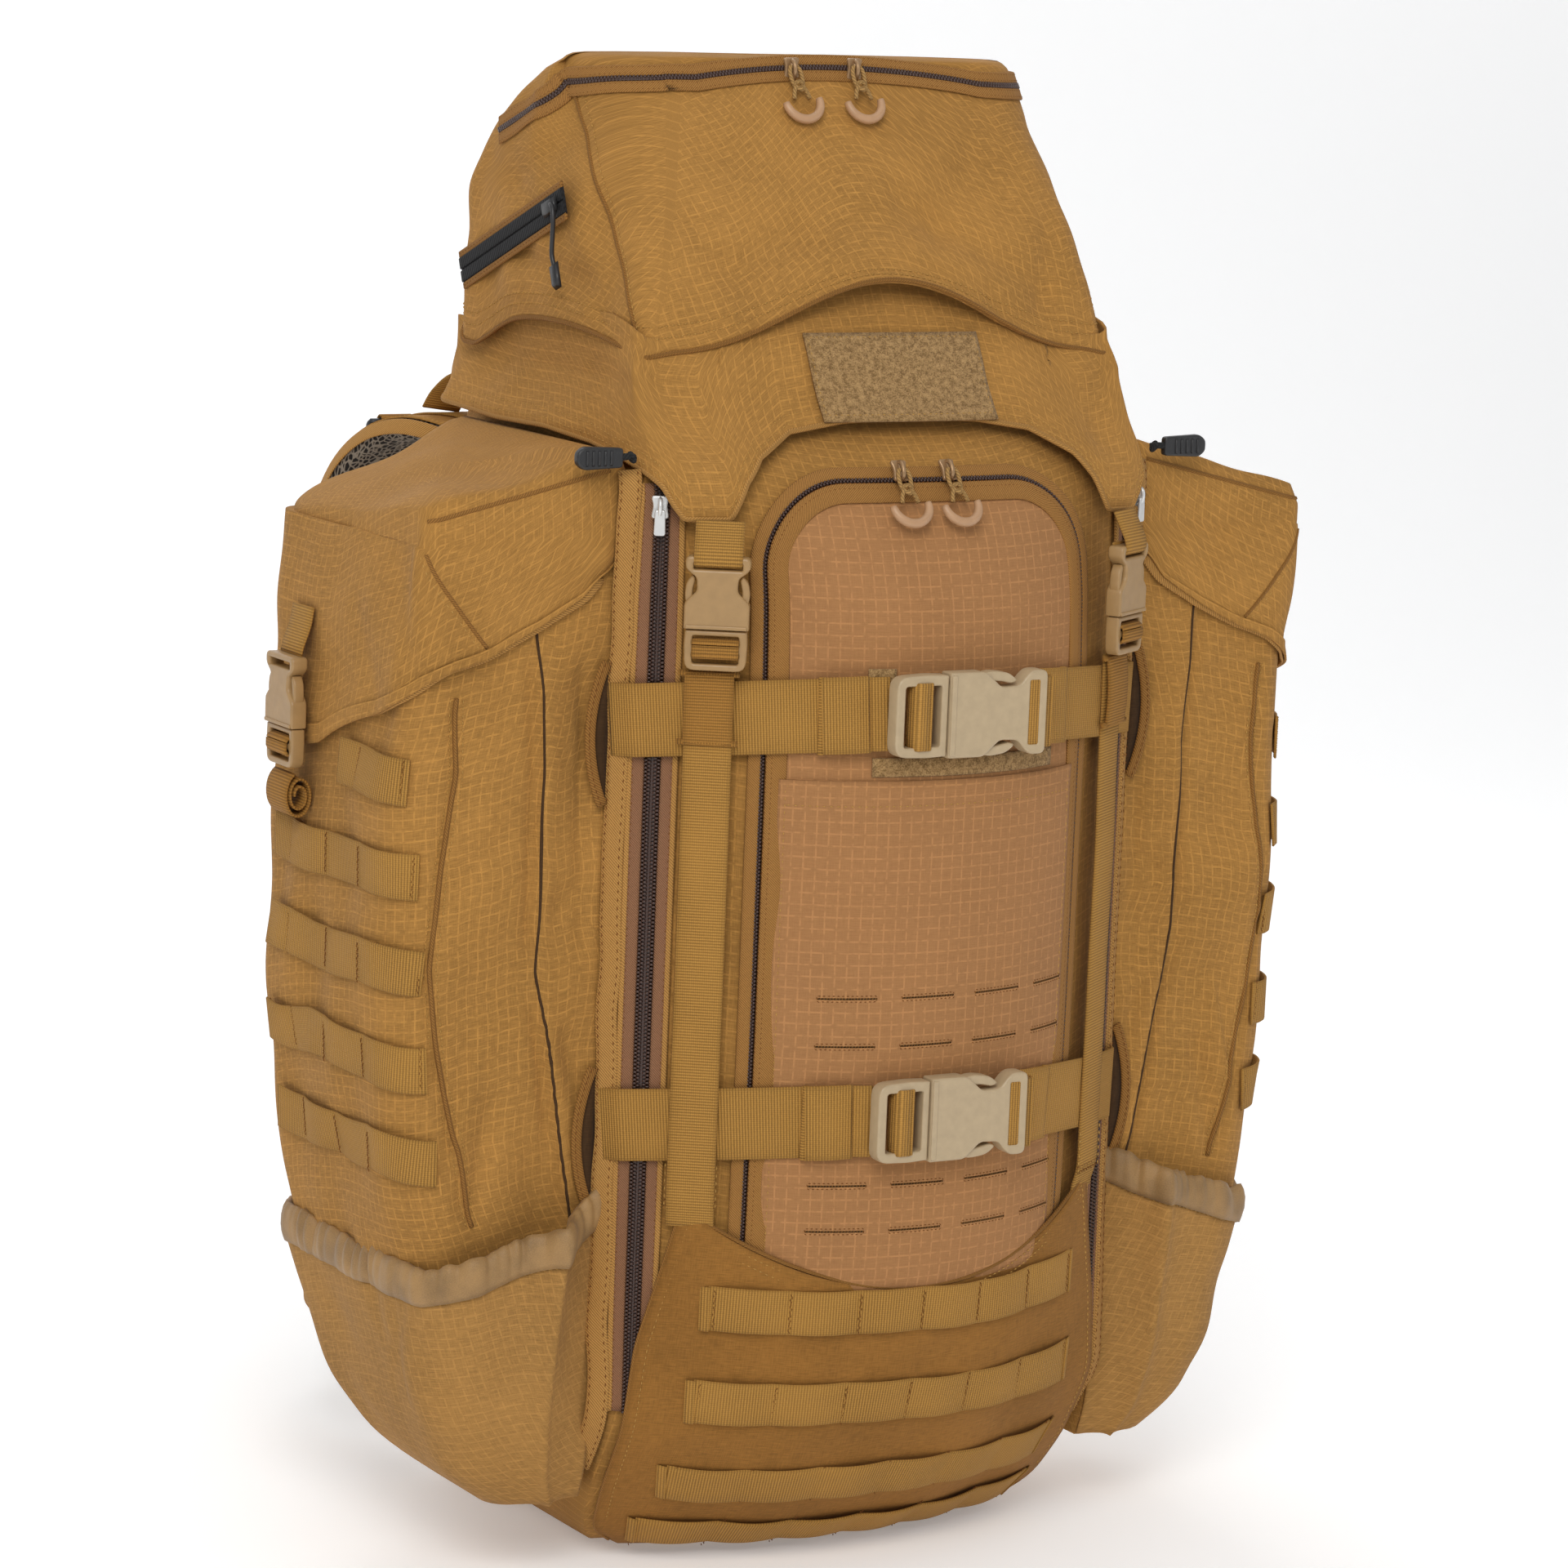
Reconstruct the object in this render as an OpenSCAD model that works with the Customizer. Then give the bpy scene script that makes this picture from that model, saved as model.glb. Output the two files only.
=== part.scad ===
// Hunting backpack: a stuffed main bag with a zipped front panel, two side pods,
// a storm hood under a floating lid, compression straps, an inner frame and a harness.
// +Z is up, the front of the bag faces -Y and the wearer's back is on the +Y side.
// The origin is on the flat base, in the plane of symmetry.

/* [Main bag] */
// Half width of the main bag
bag_half = 150; // [146:1:150]
// Depth position of the flat back of the bag
bag_back = 60; // [58:1:60]
// How far the side seams lie behind the middle of the front
bag_bow = 69; // [66:1:72]
/* [Front panel] */
// Half width of the ripstop panel inside the front zip
panel_half = 91; // [84:1:91]
// Height of the top run of the front zip
panel_top = 586; // [580:1:588]
// Radius of the panel's upper corners
panel_r = 42; // [34:1:44]
// Width of a zip with its tapes
zip_w = 9; // [7:1:9]
/* [Lid and hood] */
// Height of the hem of the lid
lid_hem = 643; // [642:1:645]
// Rise of the arch in the lid hem
lid_arch = 33; // [26:1:34]
// Highest point of the lid
lid_top = 790; // [780:1:795]
// How far the floating lid and hood lift
hood_lift = 90; // [60:5:90]
/* [Webbing and buckles] */
// Width of the vertical webbing
web_w = 25; // [20:1:25]
// Width of the compression webbing
comp_w = 38; // [32:1:38]
// Thickness of webbing
web_t = 1.7; // [1.2:0.1:1.8]
// Height of the upper compression strap at the centre
comp_upper = 466; // [456:1:470]
// Height of the lower compression strap at the centre
comp_lower = 255; // [245:1:262]
/* [Side pods] */
// Inner face of a pod
pod_in = 155; // [155:1:157]
// Front face of a pod
pod_front = -150; // [-152:1:-146]
// Back face of a pod
pod_back = 30; // [24:1:34]
/* [Harness] */
// Width of a shoulder strap
strap_w = 64; // [56:1:66]
// Thickness of a shoulder strap
strap_t = 14; // [10:1:15]
// Height of the back panel
back_top = 598; // [590:1:600]

/* [Hidden] */
gap = 0.6;                 // clearance between sewn layers
skin = 2.2;                // thickness of a sewn skin
layer_zip = 4.2;           // outer face of the zips
layer_comp = 4.9;          // inner face of the compression straps
layer_vert = 7.4;          // inner face of the vertical straps
front_u = 30;              // samples across the front of the bag

cloth = [0.62, 0.45, 0.21];
cloth_light = [0.66, 0.48, 0.32];
webbing = [0.70, 0.51, 0.24];
plastic = [0.62, 0.50, 0.32];
dark = [0.15, 0.13, 0.12];

// ---------- solids from rings of points ----------

function flat(l) = [for (a = l) for (b = a) b];
function mean(r) = [for (k = [0:2]) [for (p = r) 1] * [for (p = r) p[k]] / len(r)];

// Closed solid through rings with equal point counts, each end closed by a fan.
// The rings run anticlockwise seen from the end of the list.
module loft(rings) {
    n = len(rings[0]);
    m = len(rings);
    points = concat(flat(rings), [mean(rings[0]), mean(rings[m - 1])]);
    sides = [for (j = [0:m - 2]) for (i = [0:n - 1])
        let (a = j * n + i, b = j * n + (i + 1) % n)
        each [[a, b + n, b], [a, a + n, b + n]]];
    first = [for (i = [0:n - 1]) [m * n, i, (i + 1) % n]];
    last = [for (i = [0:n - 1])
        [m * n + 1, (m - 1) * n + (i + 1) % n, (m - 1) * n + i]];
    polyhedron(points, concat(sides, first, last));
}

// Thin solid between two grids of points; the first grid is the inner face.
module sheet(inner, outer) {
    rings = [for (j = [0:len(inner) - 1])
        concat(outer[j], [for (i = [len(inner[j]) - 1:-1:0]) inner[j][i]])];
    n = len(rings[0]);
    half = n / 2;
    m = len(rings);
    sides = [for (j = [0:m - 2]) for (i = [0:n - 1])
        let (a = j * n + i, b = j * n + (i + 1) % n)
        each [[a, b + n, b], [a, a + n, b + n]]];
    ends = [for (i = [0:half - 2]) for (last = [0, 1])
        let (o = last * (m - 1) * n, a = o + i, b = o + i + 1,
             c = o + n - 2 - i, d = o + n - 1 - i)
        each last == 0 ? [[a, b, c], [a, c, d]] : [[a, c, b], [a, d, c]]];
    polyhedron(flat(rings), concat(sides, ends));
}

// ---------- the shape of the main bag ----------

mid_line = [[0, -112], [6, -134], [22, -160], [50, -186], [90, -206], [140, -218],
    [200, -223], [300, -226], [460, -226], [520, -220], [560, -207], [575, -198],
    [590, -188], [606, -166], [625, -152], [638, -136]];
// Set back of the front at the side seams; the side zips run straight from z = 90 to 575
bow_line = [[0, 34], [22, 46], [50, 50], [90, 46], [140, 60], [200, 65.4], [300, 69],
    [460, 69], [520, 62], [560, 47], [575, 36.7], [590, 32], [606, 26], [645, 12]];
half_line = [[0, 118], [6, 130], [22, 140], [50, 145], [90, 148], [140, 150],
    [560, 150], [590, 145], [638, 140]];

function half(z) = lookup(z, half_line) * bag_half / 150;
function bow(z) = lookup(z, bow_line) * bag_bow / 69;
function front_y(x, z) = lookup(z, mid_line) + bow(z) * pow(x / 150, 2);
function unit(v) = v / norm(v);
function front_n(x, z) = unit([2 * bow(z) * x / 22500, -1,
    (front_y(x, z + 4) - front_y(x, z - 4)) / 8]);
// A point over the front of the bag, raised by r along the surface normal
function on_front(x, z, r) = [x, front_y(x, z), z] + r * front_n(x, z);
function turn(x, z) = atan(2 * bow(z) * x / 22500);

function span(a, b, n) = [for (i = [0:n]) a + (b - a) * i / n];

// Strip over the front between x = -w(t)..w(t), rows is a list of [z, x0, x1]
module front_sheet(rows, r0, r1, n) {
    inner = [for (q = rows) [for (x = span(q[1], q[2], n)) on_front(x, q[0], r0)]];
    outer = [for (q = rows) [for (x = span(q[1], q[2], n)) on_front(x, q[0], r1)]];
    sheet(inner, outer);
}

module main_bag() {
    levels = [for (q = mid_line) q[0]];
    rings = [for (z = levels) let (w = half(z)) concat(
        [for (x = span(-w, w, front_u)) [x, front_y(x, z), z]],
        [[w, bag_back - 8, z], [w - 8, bag_back, z],
         [8 - w, bag_back, z], [-w, bag_back - 8, z]])];
    color(cloth) loft(rings);
}

// ---------- front panel, zips and bucket ----------

function panel_w(z, r) = let (c = panel_top - panel_r - zip_w)
    z <= c ? panel_half + r
           : panel_half - panel_r + sqrt(max(0, pow(panel_r + r, 2) - pow(z - c, 2)));

module front_panel() {
    c = panel_top - panel_r - zip_w;
    zs = concat([150, 200, 250, 300, 380, 460, 520],
        [for (a = [0:15:75]) c + panel_r * sin(a)], [c + panel_r * sin(86)]);
    color(cloth_light)
        front_sheet([for (z = zs) [z, -panel_w(z, 0), panel_w(z, 0)]], gap, gap + skin, 10);
}

// Path of the zip around the panel: [x, z, direction out of the panel]
function zip_path() = let (c = panel_top - panel_r - zip_w) concat(
    [for (z = [168, 200, 250, 300, 380, 460, 520]) [1, z, 0]],
    [for (a = [0:15:90]) [1, c, a]],
    [for (x = [0.5, 0]) [x, c, 90]]);

module front_zip() {
    c = panel_top - panel_r - zip_w;
    k = panel_half - panel_r;
    right = [for (q = zip_path()) let (a = q[2])
        [for (r = [1, zip_w]) [k * q[0] + (panel_r + r) * cos(a),
            q[1] + (panel_r + r) * sin(a)]]];
    path = concat(right, [for (i = [len(right) - 2:-1:0])
        [for (p = right[i]) [-p[0], p[1]]]]);
    inner = [for (q = path) [for (p = q) on_front(p[0], p[1], gap)]];
    outer = [for (q = path) [for (p = q) on_front(p[0], p[1], layer_zip)]];
    color(dark) sheet(outer, inner);
}

side_zip_x = 140;
module side_zips() {
    color(dark) for (s = [-1, 1])
        front_sheet([for (z = [92, 140, 200, 300, 380, 460, 520, 560, 575, 580])
            [z, s * side_zip_x - 8, s * side_zip_x + 8]], gap, layer_zip, 2);
}

// The bucket is sewn over the lower ends of the zips: half width at each height
bucket_edge = [[14, 122], [22, 136], [50, 142], [90, 146], [140, 146], [158, 140]];
bucket_stand = layer_zip + 1.2;
function bucket_top(u) = 162 + 44 * u * u;
module bottom_bucket() {
    us = span(-1, 1, 20);
    low = [14, 22, 36, 50, 70, 90, 115, 140, 158];
    function place(r) = concat(
        [for (z = low) [for (u = us) on_front(u * lookup(z, bucket_edge), z, r)]],
        [[for (u = us) on_front(u * 122, bucket_top(u), r)]]);
    color(cloth) sheet(place(bucket_stand), place(bucket_stand + 1.6));
}

pals_rows = [[138, 163, 107], [88, 112, 111], [44, 64, 114], [16, 27, 116]];
pals_stand = bucket_stand + 2.4;
module bucket_pals() {
    color(webbing) for (q = pals_rows)
        front_sheet([for (z = span(q[0], q[1], 3)) [z, -q[2], q[2]]],
            pals_stand, pals_stand + web_t, 18);
}

// ---------- straps and their side-release buckles ----------

vert_x = 116.5;
module vertical_straps() {
    color(webbing) for (s = [-1, 1])
        front_sheet([for (z = [204, 240, 300, 380, 460, 484])
            [z, s * vert_x - web_w / 2, s * vert_x + web_w / 2]],
            layer_vert, layer_vert + web_t, 2);
}

module compression_strap(zc) {
    xs = span(-151, 151, 20);
    function place(x, k, r) = on_front(x, zc - 9 * pow(x / 151, 2) + k * comp_w / 2, r);
    sheet([for (k = [-1, 1]) [for (x = xs) place(x, k, layer_comp)]],
        [for (k = [-1, 1]) [for (x = xs) place(x, k, layer_comp + web_t)]]);
}

module compression_straps() {
    color(webbing) for (z = [comp_upper, comp_lower]) compression_strap(z);
}

// Female half: the mouth is at z = 0 and the webbing bar at the top, back face at y = 0
module buckle_female(w, h, t) {
    difference() {
        translate([-w / 2, -t, 0]) cube([w, t, h]);
        translate([-w / 2 + 2.5, -t + 2, -1]) cube([w - 5, t - 4, h * 0.62]);
        translate([-w / 2 + 4, -t - 1, h - 7]) cube([w - 8, t + 2, 3.2]);
        for (s = [-1, 1]) translate([s * w / 2 - 3, -t + 2, h * 0.2]) cube([6, t - 4, h * 0.3]);
    }
}

// Male half: prongs enter the female at z = 0, ladder bars for the webbing below it
module buckle_male(w, h, t, reach) {
    difference() {
        translate([-w / 2, -t, -h]) cube([w, t, h - 0.4]);
        for (k = [0, 1]) translate([-w / 2 + 4, -t - 1, -h + 3 + k * (h - 8) / 2])
            cube([w - 8, t + 2, (h - 8) / 2 - 2.5]);
    }
    for (x = [-w / 2 + 3.2, -1.5, w / 2 - 7.2])
        translate([x, -t + 2.6, -1]) cube([4, t - 5.2, reach + 1]);
}

// Places children on the bag front with their back face r off the surface
module at_front(x, z, r) {
    translate(on_front(x, z, 0) + r * [sin(turn(x, z)), -cos(turn(x, z)), 0])
        rotate([0, 0, turn(x, z)]) children();
}

front_x = 114;
front_mouth = 508;
front_stand = 12;
module front_buckle_place(s) { at_front(s * front_x, front_mouth, front_stand) children(); }

module front_buckle_females() {
    color(plastic) for (s = [-1, 1]) front_buckle_place(s) buckle_female(33, 37, 9);
}
module front_male(s) {
    color(plastic) front_buckle_place(s) buckle_male(33, 21, 9, 18);
}

// Compression buckles lie across the front: the male half leaves to the left
comp_mouth = -11;
comp_stand = 9.5;
module comp_place(zc) {
    translate([comp_mouth, front_y(0, zc) - comp_stand, zc]) rotate([0, 90, 0]) children();
}
module compression_buckle_females() {
    color(plastic) for (z = [comp_upper, comp_lower]) comp_place(z) buckle_female(44, 58, 11);
}
module compression_male(zc) {
    color(plastic) comp_place(zc) buckle_male(44, 31, 11, 26);
}

// ---------- storm hood ----------

hood_mid = [[540, -222], [560, -217], [575, -209], [590, -199], [606, -176], [625, -160],
    [641, -151], [680, -134]];
function hood_y(x, z) = lookup(z, hood_mid) + bow(z) * pow(x / 150, 2);
arch_half = 105;
function arch(x) = lid_arch * pow(cos(90 * min(1, abs(x) / arch_half)), 2);
function hood_hem(x) = abs(x) < 104 ? 556 + 50 * sqrt(1 - pow(x / 104.5, 2))
    : abs(x) <= 130 ? 555 : 588;
hood_xs = [-149, -136, -130.5, -130, -117, -104, -102, -94, -80, -60, -40, -20, 0,
    20, 40, 60, 80, 94, 102, 104, 117, 130, 130.5, 136, 149];
// Point of the hood: level 0 is its hem and level 1 its upper edge, r is measured inwards
function hood_pt(x, v, r) = let (z = hood_hem(x) + (641 + arch(x) - hood_hem(x)) * v)
    [x * (149 - r) / 149, hood_y(x, z) + r, z];
function hood_side(s, y, v, r) = let (z = (y > 50 ? 604 : 588) * (1 - v) + 641 * v)
    [s * (149 - r), y - (y > 50 ? r : 0), z];
function hood_ring(v, r) = concat([for (x = hood_xs) hood_pt(x, v, r)],
    [for (q = [[1, -60], [1, 0], [1, 50], [1, 64]]) hood_side(q[0], q[1], v, r)],
    [for (q = [[-1, 64], [-1, 50], [-1, 0], [-1, -60]]) hood_side(q[0], q[1], v, r)]);
function shrink(ring, k, z) = [for (p = ring) [p[0] * k, -40 + (p[1] + 40) * k, z]];

module hood() {
    t = 2;
    color(cloth) {
        loft([shrink(hood_ring(1, t), 0.7, 638.4),
            [for (p = hood_ring(1, t)) p - [0, 0, t]],
            hood_ring(0.72, t), hood_ring(0.45, t), hood_ring(0.2, t), hood_ring(0, t),
            hood_ring(0, 0), hood_ring(0.2, 0), hood_ring(0.45, 0), hood_ring(0.72, 0),
            hood_ring(1, 0), shrink(hood_ring(1, 0), 0.7, 641)]);
        for (s = [-1, 1]) front_buckle_place(s)
            translate([-web_w / 2, -5.5, 38.2]) rotate([-20, 0, 0]) cube([web_w, web_t, 26]);
    }
}

module hood_patch() {
    xs = span(-53, 53, 8);
    function rows(r) = [for (z = span(607, 652, 4)) [for (x = xs) [x, hood_y(x, z) - r, z]]];
    color([0.76, 0.62, 0.40]) sheet(rows(2), rows(3.4));
}

// ---------- lid ----------

lid_mid = [[630, -154], [643, -150], [676, -137], [712, -115], [760, -83], [784, -67],
    [790, -58]];
lid_bow_line = [[643, 14], [700, 9], [790, 4]];
lid_back_line = [[643, 52], [700, 52], [722, 50], [756, 20], [776, -24], [790, -40]];
lid_half_line = [[643, 149], [722, 149], [776, 138], [790, 124]];
function lid_y(x, z) = lookup(z, lid_mid) + lookup(z, lid_bow_line) * pow(x / 150, 2);
lid_gap = 2.6;
lid_levels = [643, 676, 700, 722, 756, 776, 784, 790];
function lid_ring(z, r) = let (w = lookup(z, lid_half_line) - r, b = lookup(z, lid_back_line))
    concat([for (x = span(-w, w, 14)) [x, lid_y(x, z) + r, lid_z(x, z)]],
        [for (q = [[w, 0.35], [w, 0.65], [w, 0.9], [w - 14, 1], [w / 3, 1], [-w / 3, 1],
            [14 - w, 1], [-w, 0.9], [-w, 0.65], [-w, 0.35]])
            [q[0], lid_y(w, z) + (b - lid_y(w, z)) * q[1], lid_z(150, z)]]);
// Only the lowest levels follow the arch of the hem
function lid_z(x, z) = let (h = lid_hem + lid_gap + (lid_top - lid_hem - lid_gap) * (z - 643) / 147)
    h + (abs(x) < 149.5 ? arch(x) * max(0, 1 - (z - 643) / 60) : 0);

module lid() {
    low = lid_ring(643, 0);
    color(cloth) loft(concat(
        [[for (p = low) [p[0] * 0.7, -40 + (p[1] + 40) * 0.7, p[2]]]],
        [for (z = lid_levels) lid_ring(z, 0)],
        [[for (p = lid_ring(790, 0)) [p[0] * 0.6, -50 + (p[1] + 50) * 0.6, lid_top + 0.5]]]));
}

// The lid zip runs along the top front edge as an arc seen from the front
lid_zip_r = 745;
lid_zip_z = 784;
lid_zip_y = -69;
module lid_zip() {
    color(dark) translate([0, lid_zip_y - 8, lid_zip_z - lid_zip_r])
        rotate([-90, 0, 0]) rotate([0, 0, -99.5]) rotate_extrude(angle = 19, $fn = 360)
        translate([lid_zip_r - 4, 0]) square([8, 3]);
}

// Water resistant zip on the left side of the lid, falling towards the back
side_zip_start = [-151.6, -74, 708];
side_zip_fall = 21.8;
module lid_side_place() {
    translate(side_zip_start) rotate([-side_zip_fall, 0, 0]) children();
}
module lid_side_zip() { color(dark) lid_side_place() cube([1.8, 124, 14]); }
module lid_side_slider() {
    color(dark) lid_side_place() translate([-4.4, 4, 3]) cube([4, 16, 8]);
}

// Zip slider with its bridge: the tape is behind it at y = 0
module slider() {
    translate([-5, -2.6, -6]) cube([10, 2.2, 12]);
    translate([-1.5, -6, -5]) cube([3, 3.6, 10]);
}

// Cord loop with a bent moulded tip, hanging from z = 0 in the plane y = 0
module cord_pull(len) {
    for (s = [-1, 1]) translate([s * 3, 0, -len]) cylinder(h = len, r = 1.1, $fn = 16);
    translate([0, 0, -len]) rotate([90, 0, 0]) translate([0, 0, -1.6])
        linear_extrude(3.2) difference() {
            circle(r = 12, $fn = 40);
            circle(r = 8, $fn = 40);
            translate([-20, 0]) square([18, 20]);
        }
}

lid_slider_x = [-24, 14];
module lid_slide_place(x) {
    a = asin(x / lid_zip_r);
    translate([0, 0, lid_zip_z - lid_zip_r]) rotate([0, a, 0])
        translate([0, lid_zip_y - 8.6, lid_zip_r]) children();
}
module lid_slider(k) {
    color(plastic) lid_slide_place(lid_slider_x[k]) slider();
}
module lid_pull(k) {
    color(plastic) lid_slide_place(lid_slider_x[k])
        translate([0, -4.3, -1]) rotate([-31, 0, 0]) cord_pull(20);
}

front_slider_x = [-19, 9];
front_slide_r = 22500 / 2 / bow(panel_top);
front_zip_z = panel_top - zip_w / 2 + 0.5;
front_lean = 33;
module front_slide_place(x) {
    translate([0, front_y(0, front_zip_z) + front_slide_r, 0])
        rotate([0, 0, asin(x / front_slide_r)])
        translate([0, -front_slide_r, front_zip_z]) rotate([-front_lean, 0, 0])
        translate([0, -layer_zip - 1.8, 0]) children();
}
module front_slider(k) {
    color(plastic) front_slide_place(front_slider_x[k]) slider();
}
module front_pull(k) {
    color(plastic) front_slide_place(front_slider_x[k])
        translate([0, -4.3, -1]) cord_pull(19);
}

side_slider_z = 567;
module side_slider(s) {
    color([0.8, 0.8, 0.78]) at_front(s * side_zip_x, side_slider_z, layer_zip + 1.4) slider();
}

// Black moulded pull on a short cord at each upper front corner
corner_place = [157, -166, 592];
module corner_pull(s) {
    color(dark) translate([s * corner_place[0], corner_place[1], corner_place[2]]) {
        cube(6, center = true);
        rotate([0, s * 90, 0]) cylinder(h = 8, r = 1.8, $fn = 16);
        translate([s * 19, 0, 0]) cube([26, 5, 12], center = true);
    }
}

// ---------- side pods ----------

pod_out_line = [[42, 200], [60, 226], [90, 240], [140, 250], [200, 262], [290, 272],
    [380, 272], [460, 268], [550, 262], [590, 258]];
pod_front_line = [[42, -140], [60, -147], [90, -150], [590, -150]];
pod_back_line = [[42, -60], [60, -30], [90, 0], [140, 18], [200, 28], [590, 30]];
pod_levels = [42, 60, 90, 140, 200, 290, 380, 460];
pod_n = 26;
// Outline point i of a right-hand pod at height z, raised by d: 0-6 front, 6-12 outer
// front corner and side, then the back and the inner face
function pod_pt(i, z, d) = let (
    x0 = pod_in - d, x1 = lookup(z, pod_out_line) + d,
    y0 = lookup(z, pod_front_line) + pod_front + 150 - d,
    y1 = lookup(z, pod_back_line) + pod_back - 30 + d, r = min(30, (x1 - x0) / 3),
    q = i <= 5 ? [x0 + (x1 - r - x0) * i / 5, y0]
      : i <= 9 ? [x1 - r + r * sin((i - 5) * 22.5), y0 + r - r * cos((i - 5) * 22.5)]
      : i <= 16 ? [x1, y0 + r + (y1 - r - y0 - r) * (i - 9) / 7]
      : i <= 20 ? [x1 - r + r * cos((i - 16) * 22.5), y1 - r + r * sin((i - 16) * 22.5)]
      : [x0 + (x1 - r - x0) * (25 - i) / 5, y1]) [q[0], q[1], z];
function pod_roof(p) = let (u = (p[0] - pod_in) / 107, v = (p[1] + 150) / 180)
    [p[0], p[1], 588 - 26 * u - 22 * u * v];
function pod_shoulder(d) = [for (i = [0:pod_n - 1]) let (p = pod_pt(i, 550, d))
    pod_roof(p) - [0, 0, 10]];
function pod_cap(d) = [for (i = [0:pod_n - 1]) let (p = pod_pt(i, 550, d - 12))
    pod_roof(p) + [0, 0, d]];

module pod(s) {
    color(cloth) scale([s, 1, 1]) loft(concat(
        [for (z = pod_levels) [for (i = [0:pod_n - 1]) pod_pt(i, z, 0)]],
        [pod_shoulder(0), pod_cap(0)]));
}

flap_hem = [[0, 536], [1, 514], [5, 508], [8, 500], [13, 440], [16, 430], [25, 430]];
function flap_ring(k, d) = [for (i = [0:pod_n - 1])
    let (h = lookup(i, flap_hem), z = h + (540 - h) * k) pod_pt(i, z, d)];
module pod_flap(s) {
    g = 2 * gap;
    t = g + skin;
    color(cloth) scale([s, 1, 1]) loft(
        [pod_cap(g), pod_shoulder(g), flap_ring(0.5, g), flap_ring(0, g),
         flap_ring(0, t), flap_ring(0.5, t), pod_shoulder(t), pod_cap(t)]);
}

pod_pals_rows = [[415, 440, 12], [366, 391, 16], [317, 342, 16], [268, 293, 16],
    [219, 244, 16]];
module pod_pals() {
    color(webbing) for (s = [-1, 1]) scale([s, 1, 1]) for (q = pod_pals_rows)
        sheet([for (z = [q[0], q[1]]) [for (i = [9:q[2]]) pod_pt(i, z, gap)]],
            [for (z = [q[0], q[1]]) [for (i = [9:q[2]]) pod_pt(i, z, gap + web_t)]]);
}

// Open topped pocket round the foot of a pod: an elastic hem holds it off the pod
pocket_hem = [[0, 200], [4, 188], [9, 170], [18, 172]];
pocket_rows = [[46, 0.8], [60, 1.5], [90, 3], [140, 9]];
pocket_hem_gap = 16;
// Share of the gap at outline point i: the pocket closes on the pod at both its ends
function pocket_open(i) = min(1, i / 3, (18 - i) / 2);
function pocket_pt(i, z, d, t) = pod_pt(i, z, max(0.8, d * pocket_open(i)) + t);
module stretch_pocket(s) {
    function rows(t) = concat(
        [for (q = pocket_rows) [for (i = [0:18]) pocket_pt(i, q[0], q[1], t)]],
        [[for (i = [0:18]) pocket_pt(i, lookup(i, pocket_hem), pocket_hem_gap, t)]]);
    color([0.52, 0.44, 0.24]) scale([s, 1, 1]) sheet(rows(0), rows(2));
}

pod_buckle_y = -30;
pod_mouth = 440;
module pod_buckle_place(s) {
    translate([s * (lookup(pod_mouth, pod_out_line) + 8.5), pod_buckle_y, pod_mouth])
        rotate([0, 0, s * 90]) children();
}
module pod_buckle_females() {
    color(plastic) for (s = [-1, 1]) pod_buckle_place(s) buckle_female(33, 37, 9);
}
module pod_male(s) { color(plastic) pod_buckle_place(s) buckle_male(33, 21, 9, 18); }

// ---------- frame and back ----------

module frame_sheet() {
    color([0.85, 0.85, 0.82]) translate([-125, 60.6, 45]) cube([250, 1.6, 535]);
}
module frame_stays() {
    color("silver") for (s = [-1, 1]) translate([s * 70 - 12.5, 62.8, 50]) cube([25, 3.2, 525]);
}
module back_panel() {
    color(cloth) translate([-138, 66.6, 30]) cube([276, 5, back_top - 30]);
}
module pad(x, z, w, h, t) {
    hull() {
        translate([x + 8, 72.2, z + 8]) cube([w - 16, t, h - 16]);
        translate([x, 72.2, z]) cube([w, t - 6, h]);
    }
}
module back_pads() {
    color([0.35, 0.33, 0.30]) for (s = [-1, 1]) {
        pad(s * 62 - 48, 420, 96, 110, 16);
        pad(s * 62 - 48, 200, 96, 190, 16);
    }
}
module lumbar_pad() {
    color([0.35, 0.33, 0.30]) pad(-90, 44, 180, 130, 26);
}

strap_path = [[62, 84, 541], [70, 98, 554], [78, 118, 564], [88, 142, 570], [98, 166, 570],
    [107, 188, 562], [115, 206, 545], [121, 216, 522], [125, 220, 496], [127, 221, 466],
    [127, 221, 432], [126, 220, 398], [125, 218, 364], [123, 212, 330], [122, 204, 302]];
// Ring of a swept strap: w across X and t along the path's normal in the YZ plane
function strap_ring(path, i, w, t, lift) = let (
    a = path[max(0, i - 1)], b = path[min(len(path) - 1, i + 1)],
    d = unit([0, b[1] - a[1], b[2] - a[2]]), n = [0, -d[2], d[1]] * -1, p = path[i])
    [p + [-w / 2, 0, 0] + n * (lift - t / 2), p + [w / 2, 0, 0] + n * (lift - t / 2),
     p + [w / 2, 0, 0] + n * (lift + t / 2), p + [-w / 2, 0, 0] + n * (lift + t / 2)];
module strap_sweep(path, w, t, lift) {
    loft([for (i = [len(path) - 1:-1:0]) strap_ring(path, i, w, t, lift)]);
}

module shoulder_strap(s) {
    color(cloth) scale([s, 1, 1]) strap_sweep(strap_path, strap_w, strap_t, 0);
}

lifter_path = [[66, 74, 592], [78, 96, 600], [88, 120, 604], [96, 142, 600], [101, 156, 588],
    [103, 162, 578]];
module load_lifters() {
    color(webbing) for (s = [-1, 1]) scale([s, 1, 1])
        translate([0, 0, 3]) strap_sweep(lifter_path, web_w, web_t, 0);
}

webbing_path = [[122, 201, 298], [122, 173, 256], [122, 141, 216], [122, 107, 184],
    [122, 82, 168]];
module shoulder_webbing() {
    color(webbing) for (s = [-1, 1]) scale([s, 1, 1])
        strap_sweep(webbing_path, web_w, web_t, 0);
}

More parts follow.
